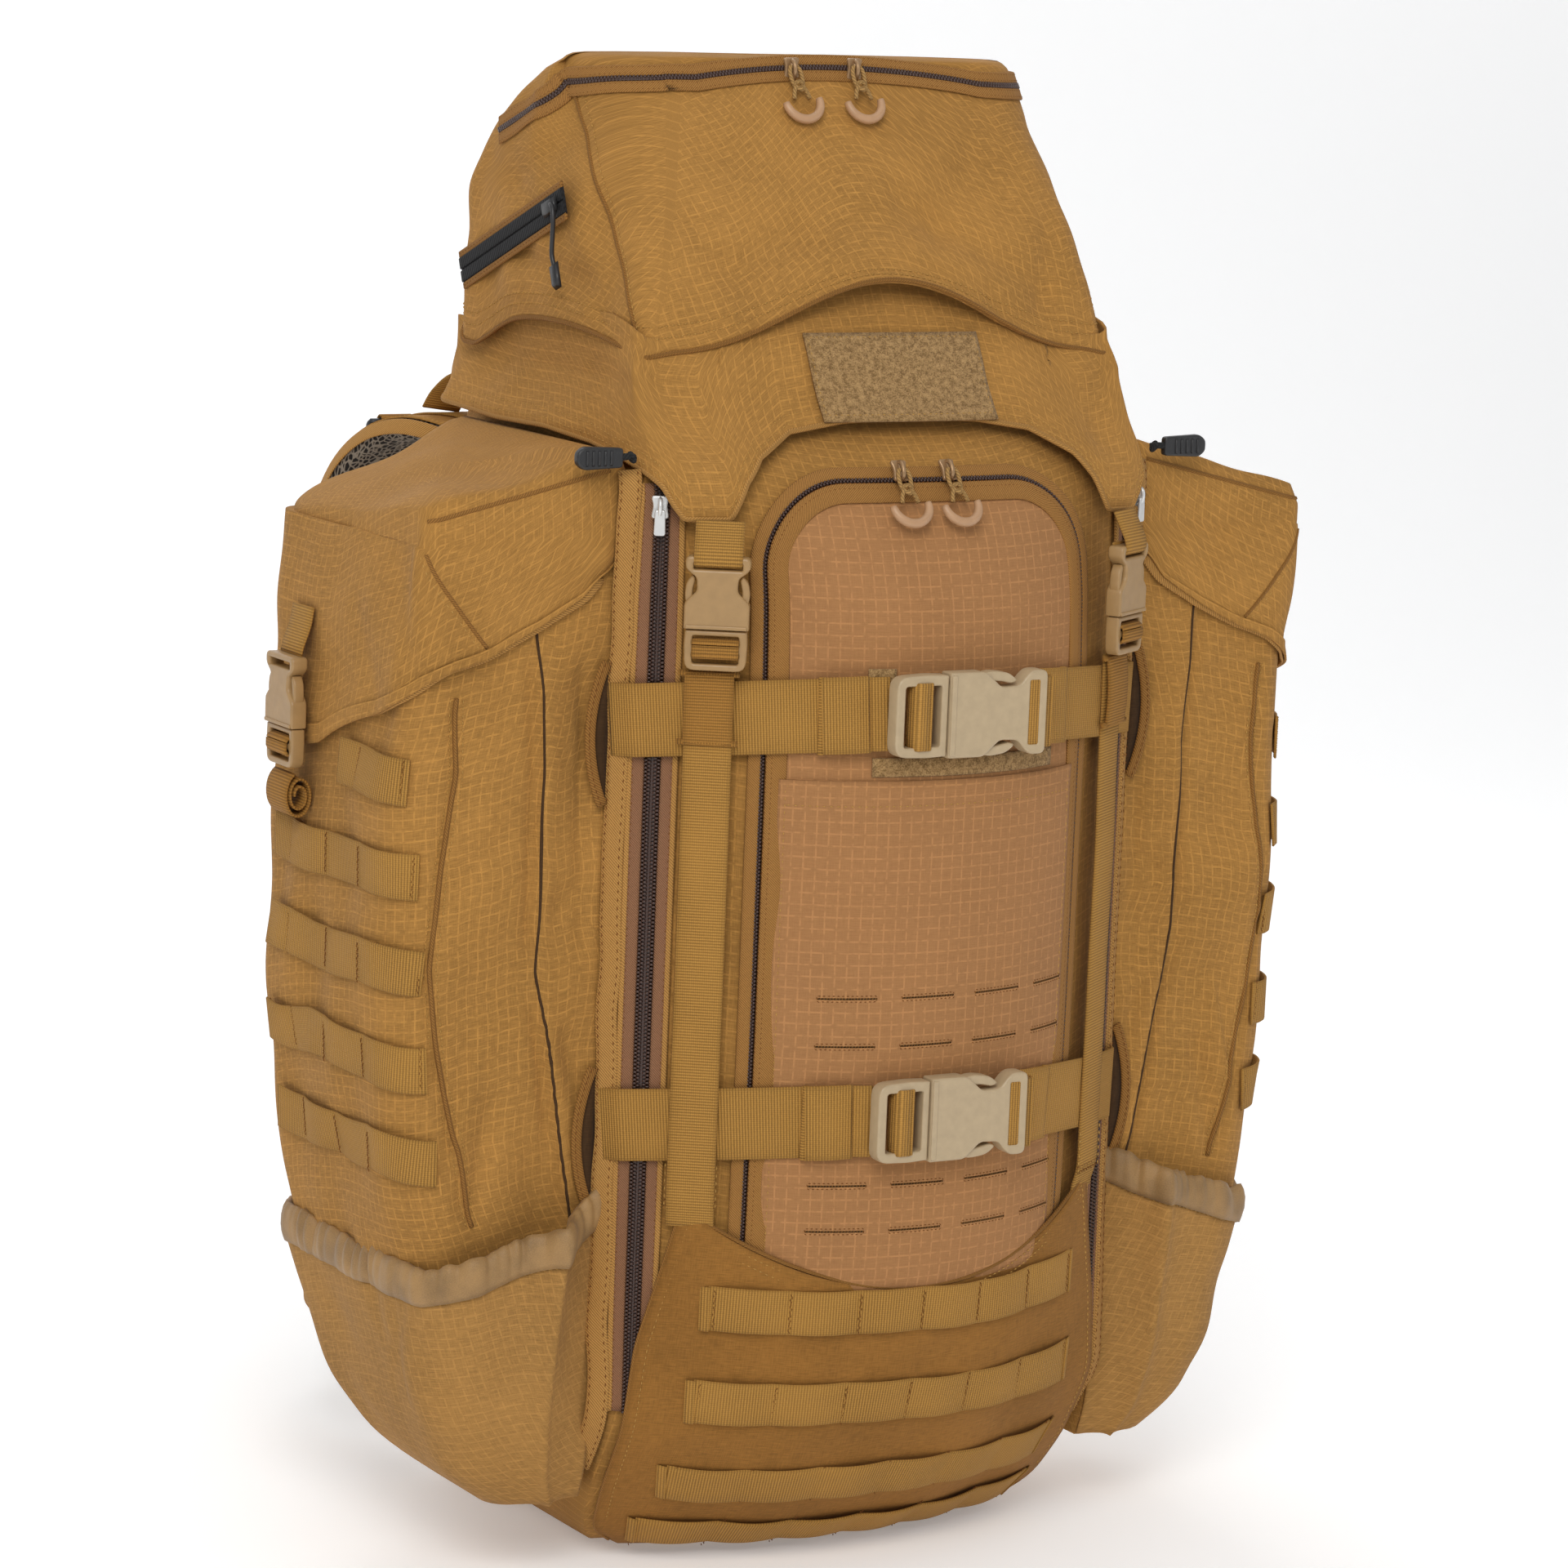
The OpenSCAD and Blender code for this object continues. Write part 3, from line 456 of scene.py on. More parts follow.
def cloth_piece(name, cloth, shade, body, thick=1.4, low=0.0, replaces=()):
    """A sheet of cloth as a closed solid, from low to low + thick above the grid."""
    p, n = cloth.points, cloth.normals
    rows, cols = p.shape[:2]
    turn = cloth.sign() < 0
    points = np.concatenate([(p + n * (low + thick)).reshape(-1, 3), (p + n * low).reshape(-1, 3)])
    a, b = cloth.metric()
    uv = np.stack([a.ravel(), b.ravel()], 1)
    size = rows * cols
    faces = grid_faces(rows, cols, cloth.closed, 0, turn)
    faces += grid_faces(rows, cols, cloth.closed, size, not turn)
    rims = [[i for i in range(cols)], [(rows - 1) * cols + i for i in range(cols)][::-1]]
    if cloth.closed:
        rims = [r + r[:1] for r in rims]
    else:
        rims += [[j * cols for j in range(rows)][::-1], [j * cols + cols - 1 for j in range(rows)]]
    for rim in rims:
        for s, t in zip(rim, rim[1:]):
            quad = (s, s + size, t + size, t)
            faces.append(quad[::-1] if turn else quad)
    return piece(name, points, faces, shade, body, np.vstack([uv, uv]), replaces)


def as_sheet(cloth):
    """The longest runs of a sheet's grid each way, measured and not used further."""
    p = cloth.points * MM
    across = max(lengths(row)[-1] for row in p)
    along = max(lengths(p[:, k])[-1] for k in range(p.shape[1]))


def shell_piece(name, cloth, shade, body, replaces=(), uv_shift=0.0):
    """A closed skin: a closed grid whose two ends are closed by fans."""
    p = cloth.points
    rows, cols = p.shape[:2]
    turn = cloth.sign() < 0
    points = np.vstack([p.reshape(-1, 3), p[0].mean(0)[None], p[-1].mean(0)[None]])
    a, b = cloth.metric()
    uv = np.stack([a.ravel(), b.ravel() + uv_shift], 1)
    uv = np.vstack([uv, uv[:cols].mean(0)[None], uv[-cols:].mean(0)[None]])
    faces = grid_faces(rows, cols, True, 0, turn)
    low, high = rows * cols, rows * cols + 1
    for i in range(cols):
        j = (i + 1) % cols
        first, last = (low, j, i), (high, (rows - 1) * cols + i, (rows - 1) * cols + j)
        faces += [first[::-1], last[::-1]] if turn else [first, last]
    return piece(name, points, faces, shade, body, uv, replaces)


def strap_rings(path, normals, width, thick):
    """Cross-sections of a flat strap along a path; its underside is on the path."""
    path, normals = np.asarray(path, float), unit(np.asarray(normals, float))
    along = unit(np.gradient(path, axis=0))
    side = unit(np.cross(along, normals))
    up = np.cross(side, along)
    w = width / 2
    section = [(-w, 0.5), (-w + 0.5, 1), (-w / 3, 1), (w / 3, 1), (w - 0.5, 1), (w, 0.5),
               (w - 0.5, 0), (-w + 0.5, 0)]
    rings = np.stack([path + side * a + up * thick * h for a, h in section], 1)
    across = np.array([a for a, _ in section])
    return rings, across


class Heap:
    """Many small solids gathered into one piece."""

    def __init__(self):
        self.points, self.faces, self.uvs, self.count = [], [], [], 0

    def add(self, points, faces, uv=None):
        points = np.asarray(points, float).reshape(-1, 3)
        self.points.append(points)
        self.uvs.append(points[:, [0, 2]] if uv is None else np.asarray(uv, float))
        self.faces += [[k + self.count for k in f] for f in faces]
        self.count += len(points)

    def strap(self, path, normals, width, thick=1.5):
        rings, across = strap_rings(path, normals, width, thick)
        n, m = rings.shape[:2]
        along = lengths(np.asarray(path, float))
        uv = np.stack(np.broadcast_arrays(across[None, :], along[:, None]), -1).reshape(-1, 2)
        faces = [f[::-1] for f in grid_faces(n, m, True)]
        faces += [tuple(range(m)), tuple(range(n * m - 1, n * m - m - 1, -1))]
        self.add(rings.reshape(-1, 3), faces, uv)

    def tube(self, path, radius, sides=8, closed=False):
        path = np.asarray(path, float)
        if closed:
            ahead = np.roll(path, -1, 0) - np.roll(path, 1, 0)
        else:
            ahead = np.gradient(path, axis=0)
        ahead = unit(ahead)
        guess = np.array([0.0, 0.0, 1.0]) if abs(ahead[0][2]) < 0.9 else np.array([1.0, 0, 0])
        side = [unit(np.cross(ahead[0], guess))]
        for d in ahead[1:]:
            s = side[-1] - d * (side[-1] @ d)
            side.append(unit(s))
        side = np.array(side)
        up = np.cross(ahead, side)
        radius = np.broadcast_to(np.asarray(radius, float), (len(path),))
        turn = np.arange(sides) / sides * math.tau
        rings = (path[:, None] + radius[:, None, None]
                 * (side[:, None] * np.cos(turn)[None, :, None] + up[:, None] * np.sin(turn)[None, :, None]))
        n = len(path)
        faces = grid_faces(n, sides, True)
        if closed:
            faces += [((n - 1) * sides + i, (n - 1) * sides + (i + 1) % sides, (i + 1) % sides, i)
                      for i in range(sides)]
        else:
            faces += [tuple(range(sides))[::-1], tuple(range((n - 1) * sides, n * sides))]
        run = lengths(path)
        uv = np.stack(np.broadcast_arrays((turn * radius.mean())[None, :], run[:, None]), -1)
        self.add(rings.reshape(-1, 3), faces, uv.reshape(-1, 2))

    def stitches(self, path, normals, pitch=4.0, length=2.7, width=0.75, height=0.6, sink=0.15):
        """A row of stitches along a line; each is a small six-cornered lozenge."""
        path = np.asarray(path, float)
        normals = np.broadcast_to(np.asarray(normals, float), path.shape)
        run = lengths(path)
        count = max(1, int(run[-1] / pitch))
        mid = (np.arange(count) + 0.5) * run[-1] / count
        spot = np.stack([np.interp(mid, run, path[:, k]) for k in range(3)], 1)
        up = unit(np.stack([np.interp(mid, run, normals[:, k]) for k in range(3)], 1))
        step = np.gradient(path, axis=0)
        ahead = unit(np.stack([np.interp(mid, run, step[:, k]) for k in range(3)], 1))
        side = np.cross(up, ahead)
        for c, a, s, h in zip(spot, ahead, side, up):
            c = c - h * sink
            self.add([c + a * length / 2, c + s * width / 2, c - a * length / 2,
                      c - s * width / 2, c + h * height, c - h * 0.3],
                     [(0, 1, 4), (1, 2, 4), (2, 3, 4), (3, 0, 4),
                      (1, 0, 5), (2, 1, 5), (3, 2, 5), (0, 3, 5)])

    def brick(self, centre, x, y, z, size):
        """A box with a slightly smaller top: half sizes along the three directions."""
        c = np.asarray(centre, float)
        a, b, t = size
        low = [c + x * i * a + y * j * b for i, j in ((-1, -1), (1, -1), (1, 1), (-1, 1))]
        high = [c + x * i * a * 0.7 + y * j * b * 0.7 + z * t
                for i, j in ((-1, -1), (1, -1), (1, 1), (-1, 1))]
        self.add(low + high, [(3, 2, 1, 0), (4, 5, 6, 7), (0, 1, 5, 4), (1, 2, 6, 5),
                              (2, 3, 7, 6), (3, 0, 4, 7)])

    def teeth(self, path, normals, pitch=2.1, reach=2.6, height=1.3):
        """Two interlocking rows of coil turns along a line."""
        path = np.asarray(path, float)
        normals = unit(np.asarray(normals, float))
        run = lengths(path)
        count = int(run[-1] / pitch * 2)
        where = np.linspace(0, run[-1], count)
        spot = np.stack([np.interp(where, run, path[:, k]) for k in range(3)], 1)
        up = unit(np.stack([np.interp(where, run, normals[:, k]) for k in range(3)], 1))
        ahead = unit(np.gradient(spot, axis=0))
        side = np.cross(ahead, up)
        for k in range(count):
            s = side[k] * (1 if k % 2 else -1)
            self.brick(spot[k] + s * reach * 0.42, s, ahead[k], up[k], (reach * 0.62, pitch * 0.36, height))

    def build(self, name, shade, body, replaces=(), flat=False):
        if not self.points:
            return None
        return piece(name, np.vstack(self.points), self.faces, shade, body,
                     np.vstack(self.uvs), replaces, flat)


HEAPS = {}


def heap(kind, shade, body, flat=False):
    """The shared heap of one kind of small work on one body; it is built at the end."""
    key = f"{kind}_{body}"
    if key not in HEAPS:
        HEAPS[key] = (Heap(), shade, body, flat)
    return HEAPS[key][0]


def thread(body, rust=False):
    if rust:
        return heap("stitching_rust", THREAD_RUST, body)
    return heap("stitching_gold", THREAD_GOLD, body)


def sew(body, path, normals, rust=False, **how):
    thread(body, rust).stitches(path, normals, **how)


def plate_mesh(loops, thick, bevel=0.7, steps=2):
    """Points and faces of a flat plate with rounded edges: loops[0] is its outline and the
    rest are holes. It lies in the XY plane with its back at z = 0."""
    curve = bpy.data.curves.new("plate", "CURVE")
    curve.dimensions = "2D"
    curve.fill_mode = "BOTH"
    curve.bevel_depth = bevel * MM
    curve.bevel_resolution = steps
    curve.offset = -bevel * MM
    curve.extrude = (thick / 2 - bevel) * MM
    for loop in loops:
        line = curve.splines.new("POLY")
        line.points.add(len(loop) - 1)
        for point, (x, y) in zip(line.points, loop):
            point.co = (x * MM, y * MM, 0, 1)
        line.use_cyclic_u = True
    obj = bpy.data.objects.new("plate", curve)
    bpy.context.scene.collection.objects.link(obj)
    bpy.context.view_layer.update()
    mesh = bpy.data.meshes.new_from_object(obj.evaluated_get(bpy.context.evaluated_depsgraph_get()))
    points = np.array([v.co for v in mesh.vertices]) / MM + [0, 0, thick / 2]
    faces = [tuple(p.vertices) for p in mesh.polygons]
    bpy.data.objects.remove(obj)
    bpy.data.curves.remove(curve)
    bpy.data.meshes.remove(mesh)
    return points, faces


class Place:
    """A local frame: x across, y along and z outwards."""

    def __init__(self, origin, y, z):
        self.origin = np.array(origin, float)
        self.y = unit(np.array(y, float))
        z = np.array(z, float)
        self.z = unit(z - self.y * (z @ self.y))
        self.x = np.cross(self.y, self.z)

    def __call__(self, points):
        p = np.atleast_2d(np.asarray(points, float))
        return self.origin + p[:, :1] * self.x + p[:, 1:2] * self.y + p[:, 2:] * self.z


def rounded(points, radius, steps=4):
    """A closed outline with its corners rounded."""
    out = []
    count = len(points)
    for k in range(count):
        a, b, c = (np.array(points[(k + d) % count][:2], float) for d in (-1, 0, 1))
        r = points[k][2] if len(points[k]) > 2 else radius
        r = min(r, np.linalg.norm(a - b) * 0.48, np.linalg.norm(c - b) * 0.48)
        p = b + (a - b) / max(np.linalg.norm(a - b), 1e-6) * r
        q = b + (c - b) / max(np.linalg.norm(c - b), 1e-6) * r
        for t in np.linspace(0, 1, steps + 1):
            out.append((1 - t) ** 2 * p + 2 * t * (1 - t) * b + t * t * q)
    return out


def box_loop(x0, x1, y0, y1, r=0.8):
    return rounded([(x0, y0), (x1, y0), (x1, y1), (x0, y1)], r)


def mirrored(half):
    """A symmetric outline from its right half, listed from the top to the bottom."""
    left = [(-p[0], *p[1:]) for p in half[::-1]]
    return [tuple(p) for p in half] + left


def plate(target, place, loops, thick, low=0.0, bevel=0.7):
    points, faces = plate_mesh(loops, thick, bevel)
    target.add(place(points + [0, 0, low]), faces)


def female_half(target, place, w, h, t):
    """Body of a side-release buckle: webbing slot at the top, open waist, mouth at y = 0."""
    k, m = w / 33, h / 37
    half = [(16.4, 37, 3), (16.4, 31, 2), (13.6, 28.4, 1.5), (10.6, 26.4, 2), (10.2, 19.5, 2),
            (13.6, 16.2, 2), (16.5, 13.4, 2.5), (16.5, 0, 0.8)]
    outline = rounded([(x * k, y * m, r * k) for x, y, r in mirrored(half)], 1)
    plate(target, place, [outline, box_loop(-12.4 * k, 12.4 * k, 30.4 * m, 34 * m)], t, 0, 1.2)
    lip = box_loop(-15.6 * k, 15.6 * k, 0.2 * m, 2.2 * m, 0.6)
    plate(target, place, [lip], 1.2, t - 0.6, 0.5)


def male_half(target, place, w, h, t, reach):
    """Ladder frame below y = 0, with two spring arms that show in the female's waist."""
    k, m = w / 33, h / 21
    frame_half = [(15.6, -0.5, 0.8), (16.0, -8, 2), (15.4, -21, 5)]
    outline = rounded([(x * k, y * m, r * k) for x, y, r in mirrored(frame_half)], 1)
    upper = box_loop(-11.8 * k, 11.8 * k, -8.2 * m, -3.2 * m, 1.2)
    lower = box_loop(-11.8 * k, 11.8 * k, -17.6 * m, -11.6 * m, 1.6)
    plate(target, place, [outline, upper, lower], t - 1.6, 0.5, 1.0)
    for s in (-1, 1):
        arm = [(11.2, 0, 1), (14.6, 0, 1), (15.2, 12, 2), (16.6, 17, 3), (15.6, 24, 3),
               (12.4, 27.6, 1.5), (11.4, 25, 1), (12.6, 20, 2), (12.2, 12, 2)]
        arm = [(s * x * k, y * reach / 27, r * k) for x, y, r in arm]
        plate(target, place, [rounded(arm if s > 0 else arm[::-1], 1)], t - 3.4, 1.7, 0.9)


def wrap(target, place, w, y0, y1, low, high, thick=1.5):
    """A flat loop of webbing round whatever lies between low and high, seen from the front."""
    r = (high - low) / 2
    mid = (low + high) / 2
    turn = np.linspace(0, math.pi, 7)
    path = [(0, y1 + r * math.sin(a) * 0.5, mid + r * math.cos(a)) for a in turn]
    path += [(0, y0 - r * math.sin(a) * 0.5, mid - r * math.cos(a)) for a in turn]
    path.append(path[0])
    path = np.array(path)
    norm = unit(np.stack([np.zeros(len(path)), (path[:, 1] - (y0 + y1) / 2) * 0.6,
                          (path[:, 2] - mid) * 3], 1))
    world = place(path)
    normals = norm[:, :1] * place.x + norm[:, 1:2] * place.y + norm[:, 2:] * place.z
    target.strap(world, normals, w, thick)

# ---------- the shape of the bag ----------

mid = smooth_table([(0, -112), (6, -134), (22, -160), (50, -186), (90, -206), (140, -218),
                    (200, -223), (300, -226), (460, -226), (520, -220), (560, -207),
                    (575, -198), (590, -188), (606, -166), (625, -152), (638, -136)])
bow = smooth_table([(0, 34), (22, 46), (50, 50), (90, 46), (140, 60), (200, 65.4), (300, 69),
                    (460, 69), (520, 62), (560, 47), (575, 36.7), (590, 32), (606, 26), (645, 12)])
half = smooth_table([(0, 118), (6, 130), (22, 140), (50, 145), (90, 148), (140, 150),
                     (560, 150), (590, 145), (638, 140)])
BACK_Y = 60.0


def front_y(x, z):
    return mid(z) + bow(z) * (np.asarray(x) / 150.0) ** 2


def front_n(x, z):
    x, z = np.broadcast_arrays(np.asarray(x, float), np.asarray(z, float))
    lean = (front_y(x, z + 4) - front_y(x, z - 4)) / 8
    return unit(np.stack([2 * bow(z) * x / 22500, -np.ones_like(x), lean], -1))


def on_front(x, z, r=0.0):
    x, z, r = np.broadcast_arrays(*(np.asarray(q, float) for q in (x, z, r)))
    return np.stack([x, front_y(x, z), z], -1) + r[..., None] * front_n(x, z)


def front_cloth(x, z, r):
    return Cloth(on_front(x, z, r), 1.0)


def sew_front(points, r, body="bag", rust=False, **how):
    """Stitches on the bag's front along a line of (x, z)."""
    line = resample(points, max(12, int(lengths(np.array(points, float))[-1] / 6)))
    sew(body, on_front(line[:, 0], line[:, 1], r), front_n(line[:, 0], line[:, 1]), rust, **how)


LAYER_ZIP, LAYER_COMP, LAYER_VERT = 3.6, 5.6, 7.6
WEB_T = 1.6


def bag_shell():
    z = np.concatenate([[0.4, 1.5, 4], np.linspace(8, 636, 74)])
    front = np.linspace(-1, 1, 61)
    side = [(1, -0.55), (1, -0.1), (1, 0.35), (1, 0.7), (0.985, 0.9), (0.95, 0.985), (0.9, 1),
            (0.6, 1), (0.3, 1), (0, 1)]
    side += [(-a, b) for a, b in side[-2::-1]]
    rows = []
    for level in z:
        w = float(half(level))
        row = [(x * w, float(front_y(x * w, level)), level) for x in front]
        y0 = row[-1][1]
        row += [(a * w, BACK_Y if b >= 0.999 else y0 + (BACK_Y - y0) * max(0, (b + 0.8) / 1.8), level)
                for a, b in side]
        rows.append(row)
    p = np.array(rows)
    cloth = Cloth(p, 1.0, True)
    cloth = Cloth(p, -1.0 if cloth.normals[30, 30][1] > 0 else 1.0, True)
    a, b = cloth.metric()
    lumps = ripples(a, b, 3, 60) * 0.5 * (np.abs(p[..., 1] - BACK_Y) > 3)
    shell_piece("bag_shell", cloth.moved(lumps), CLOTH, "bag", ["main_bag"])


PANEL_HALF, PANEL_TOP, PANEL_R, ZIP_W = 91.0, 586.0, 42.0, 9.0
ARC_Z = PANEL_TOP - PANEL_R - ZIP_W


def panel_width(z, out=0.0):
    z = np.asarray(z, float)
    over = np.sqrt(np.maximum((PANEL_R + out) ** 2 - np.maximum(z - ARC_Z, 0) ** 2, 0))
    return PANEL_HALF - PANEL_R + over


def panel_puff(x, z):
    """Padding of the front panel, pressed flat where the straps cross it."""
    body = 3.6 * np.clip(1 - (np.abs(x) / 92) ** 4, 0, 1)
    body = body * np.clip((PANEL_TOP - 12 - z) / 30, 0, 1) * np.clip((z - 150) / 20, 0.2, 1)
    for strap in (466, 255):
        body = body * (1 - 0.6 * np.exp(-((z - strap) / 24) ** 2))
    return body + 0.5 * ripples(x, z, 11, 90) * np.clip(body / 2, 0, 1)


def front_panel():
    z = np.concatenate([np.linspace(152, ARC_Z, 78), ARC_Z + PANEL_R * np.sin(np.linspace(0.05, 1.52, 16))])
    u = np.linspace(-1, 1, 61)
    w = panel_width(z)
    x, zz = u[None, :] * w[:, None], np.repeat(z[:, None], 61, 1)
    cloth_piece("front_panel", front_cloth(x, zz, 1.0 + panel_puff(x, zz)), PANEL, "bag",
                1.2, replaces=["front_panel"])
    edge = [(-(PANEL_HALF - 3), 170), (-(PANEL_HALF - 3), ARC_Z)]
    edge += [(-(PANEL_HALF - PANEL_R) - (PANEL_R - 3) * math.cos(a), ARC_Z + (PANEL_R - 3) * math.sin(a))
             for a in np.linspace(0.1, math.pi / 2, 10)]
    edge += [(-p[0], p[1]) for p in edge[::-1]]
    line = resample(edge, 260)
    r = 2.25 + panel_puff(line[:, 0], line[:, 1])
    sew("bag", on_front(line[:, 0], line[:, 1], r), front_n(line[:, 0], line[:, 1]), pitch=3.6)


POCKET_TOP, HOOK_Z = 431.0, 439.0


def panel_pocket():
    """The slot pocket on the lower panel: its own layer, with a hemmed mouth and cut slots."""
    x, z = np.meshgrid(np.linspace(-86, 86, 70), np.linspace(156, POCKET_TOP, 90))
    puff = panel_puff(x, z) + 1.3 + 0.5 * np.exp(-((z - POCKET_TOP) / 5) ** 2)
    cloth_piece("panel_pocket", front_cloth(x, z, puff + 1.1), PANEL, "bag", 1.0)

    def top(x, z, extra):
        return panel_puff(x, z) + 3.45 + extra
    for points in ([(-83, 170), (-83, POCKET_TOP - 3), (83, POCKET_TOP - 3), (83, 170)],
                   [(-83, POCKET_TOP - 13), (83, POCKET_TOP - 13)]):
        line = resample(points, 160)
        sew("bag", on_front(line[:, 0], line[:, 1], top(line[:, 0], line[:, 1], 0)),
            front_n(line[:, 0], line[:, 1]), pitch=3.6)
    slots = heap("cut_slots", BINDING_DARK, "bag")
    for row in (318, 293, 219, 195):
        for start in (-65, -23, 19, 60):
            end = min(start + 29, 84)
            path = [(q, row) for q in np.linspace(start, end, 9)]
            ring = [(q, row + 1.5) for q, _ in path] + [(q, row - 1.5) for q, _ in path[::-1]]
            ring = np.array(ring + ring[:1])
            sew_at = on_front(ring[:, 0], ring[:, 1], top(ring[:, 0], ring[:, 1], 0))
            sew("bag", sew_at, front_n(ring[:, 0], ring[:, 1]), True, pitch=2.4, length=2.0)
            line = np.array(path)
            slots.strap(on_front(line[:, 0], line[:, 1], top(line[:, 0], line[:, 1], -0.1)),
                        front_n(line[:, 0], line[:, 1]), 1.0, 0.25)
    strip = np.linspace(-43, 66, 24)
    hook = heap("hook_strip", LOOP, "bag")
    hook.strap(on_front(strip, 438, top(strip, 438, -0.9)), front_n(strip, 438), 10, 1.2)
    for dz in (-4, 4):
        sew_front([(-42, 438 + dz), (65, 438 + dz)], 4.4, pitch=3.2)


def front_zip():
    """Closed zip round the panel: gold tapes either side of a narrow groove with the coil."""
    def path(out, low=165.0):
        pts = [(-(PANEL_HALF + out), z) for z in np.linspace(low, ARC_Z, 60)]
        pts += [(-(PANEL_HALF - PANEL_R) - (PANEL_R + out) * math.cos(a),
                 ARC_Z + (PANEL_R + out) * math.sin(a)) for a in np.linspace(0.05, math.pi / 2, 18)]
        pts += [(x, ARC_Z + PANEL_R + out) for x in np.linspace(-(PANEL_HALF - PANEL_R) + 4, 0, 8)]
        pts += [(-p[0], p[1]) for p in pts[-2::-1]]
        return np.array(pts)

    tape = heap("front_zip_tape", GOLD_TAPE, "bag")
    for out, width, r in ((-3.6, 11.0, 2.9), (6.1, 7.0, 1.9)):
        p = path(out)
        tape.strap(on_front(p[:, 0], p[:, 1], r), front_n(p[:, 0], p[:, 1]), width, 1.3)
    p = path(2.7)
    coil = heap("front_zip_coil", COIL, "bag")
    spot, up = on_front(p[:, 0], p[:, 1], 1.4), front_n(p[:, 0], p[:, 1])
    coil.strap(spot, up, 2.4, 0.6)
    coil.teeth(spot + up * 0.5, up, 1.9, 1.5, 1.3)
    for out in (0.9, -1.6):
        p = path(out)
        sew("bag", on_front(p[:, 0], p[:, 1], 4.1), front_n(p[:, 0], p[:, 1]), True, pitch=2.6,
            length=1.9, width=0.9)
    p = path(8.4)
    sew("bag", on_front(p[:, 0], p[:, 1], 2.9), front_n(p[:, 0], p[:, 1]), pitch=3.4)


def side_zips():
    z = np.linspace(94, 578, 120)
    for name, s in SIDES:
        x = s * 139.0
        tape = heap("side_zip_tape", ZIP_TAPE, "bag")
        for dx, width in ((-5.6, 7.5), (5.6, 7.0)):
            tape.strap(on_front(x + dx, z, 1.2), front_n(x + dx, z), width, 1.1)
        coil = heap("side_zip_coil", COIL, "bag")
        spot, up = on_front(x, z, 1.4), front_n(np.full_like(z, x), z)
        coil.strap(spot, up, 6.2, 0.8)
        for dx in (-1.9, 1.9):
            side = on_front(x + dx, z, 2.0)
            coil.teeth(side, up, 2.0, 2.0, 1.5)
        for dx in (-9.0, 9.0):
            edge = heap("side_zip_edge", BINDING, "bag")
            edge.strap(on_front(x + dx, z, 1.0), front_n(np.full_like(z, x + dx), z), 3.2, 1.8)
        for dx in (-7.6, 7.6):
            sew("bag", on_front(x + dx, z, 2.2), front_n(np.full_like(z, x + dx), z), True, pitch=3.6,
                length=2.8, width=1.0)
        # gold binding down the seam between the bag and the pod
        zb = np.linspace(60, 584, 110)
        wob = 0.6 * ripples(zb, zb * 0, 21 + s, 60)
        xb = s * (153.0 + wob)
        seam = heap("seam_binding", BINDING, "bag")
        spot = on_front(xb, zb, 1.0)
        up = unit(front_n(xb, zb) + np.array([s * 0.15, 0, 0]))
        seam.strap(spot, up, 12, 2.0)
        for dx in (-4.4, 4.0):
            across = np.cross(np.gradient(spot, axis=0), up)
            sew("bag", spot + unit(across) * dx + up * 1.95, up, True, pitch=4.4, length=3.3,
                width=1.1, height=0.8)


def bucket_top(u):
    return 162 + 44 * u * u


def bottom_bucket():
    edge = smooth_table([(8, 112), (14, 124), (22, 135), (50, 140), (90, 141), (130, 137),
                         (160, 130), (206, 120)], 4)
    u = np.linspace(-1, 1, 71)
    v = np.concatenate([[0, 0.008, 0.02], np.linspace(0.05, 1, 46)])
    top = np.array([bucket_top(k) if abs(k) < 0.86 else
                    bucket_top(0.86) + (206 - bucket_top(0.86)) * ((abs(k) - 0.86) / 0.14) for k in u])
    z = 10 + (top[None, :] - 10) * v[:, None]
    x = u[None, :] * edge(z)
    r = 4.8 + 0.8 * ripples(x, z, 5, 70) * np.clip((1 - np.abs(u)) * 6, 0, 1)[None, :]
    r = r * np.clip(v * 30, 0.25, 1)[:, None]
    r = np.maximum(r, 3.9)
    cloth_piece("bottom_bucket", front_cloth(x, z, r), CLOTH_DARK, "bag", 1.4, replaces=["bottom_bucket"])
    line = np.array([(k * 0.965 * 121, bucket_top(k * 0.965) - 5) for k in np.linspace(-1, 1, 120)])
    for dz in (0, -5):
        sew("bag", on_front(line[:, 0], line[:, 1] + dz, 6.4), front_n(line[:, 0], line[:, 1]), pitch=3.4)
    for s in (-1, 1):
        zz = np.linspace(30, 196, 60)
        xx = s * (edge(zz) - 5)
        sew("bag", on_front(xx, zz, 6.3), front_n(xx, zz), pitch=3.4)
    rim = np.array([(k * 121, bucket_top(k)) for k in np.linspace(-1, 1, 90)])
    piping = heap("bucket_piping", BINDING_DARK, "bag")
    piping.tube(on_front(rim[:, 0], rim[:, 1], 5.8), 1.1, 6)
    for s in (-1, 1):
        zz = np.linspace(14, 205, 60)
        xx = s * edge(zz)
        piping.tube(on_front(xx, zz, 5.2), 1.1, 6)


PALS_ROWS = ((150.5, 107, 6), (100, 111, 6), (54, 114, 6), (21.5, 116, 6))


def bartack(body, start, end, normal, rust=True):
    """A dense zigzag across a strap from start to end."""
    start, end = np.array(start, float), np.array(end, float)
    run = np.linalg.norm(end - start)
    count = max(4, int(run / 1.5))
    side = unit(np.cross(unit(end - start), normal))
    t = np.linspace(0, 1, count)
    path = start + (end - start) * t[:, None] + side * (0.7 * (-1.0) ** np.arange(count))[:, None]
    sew(body, path, np.broadcast_to(normal, path.shape), rust, pitch=1.6, length=1.9, width=0.6,
        height=0.5)


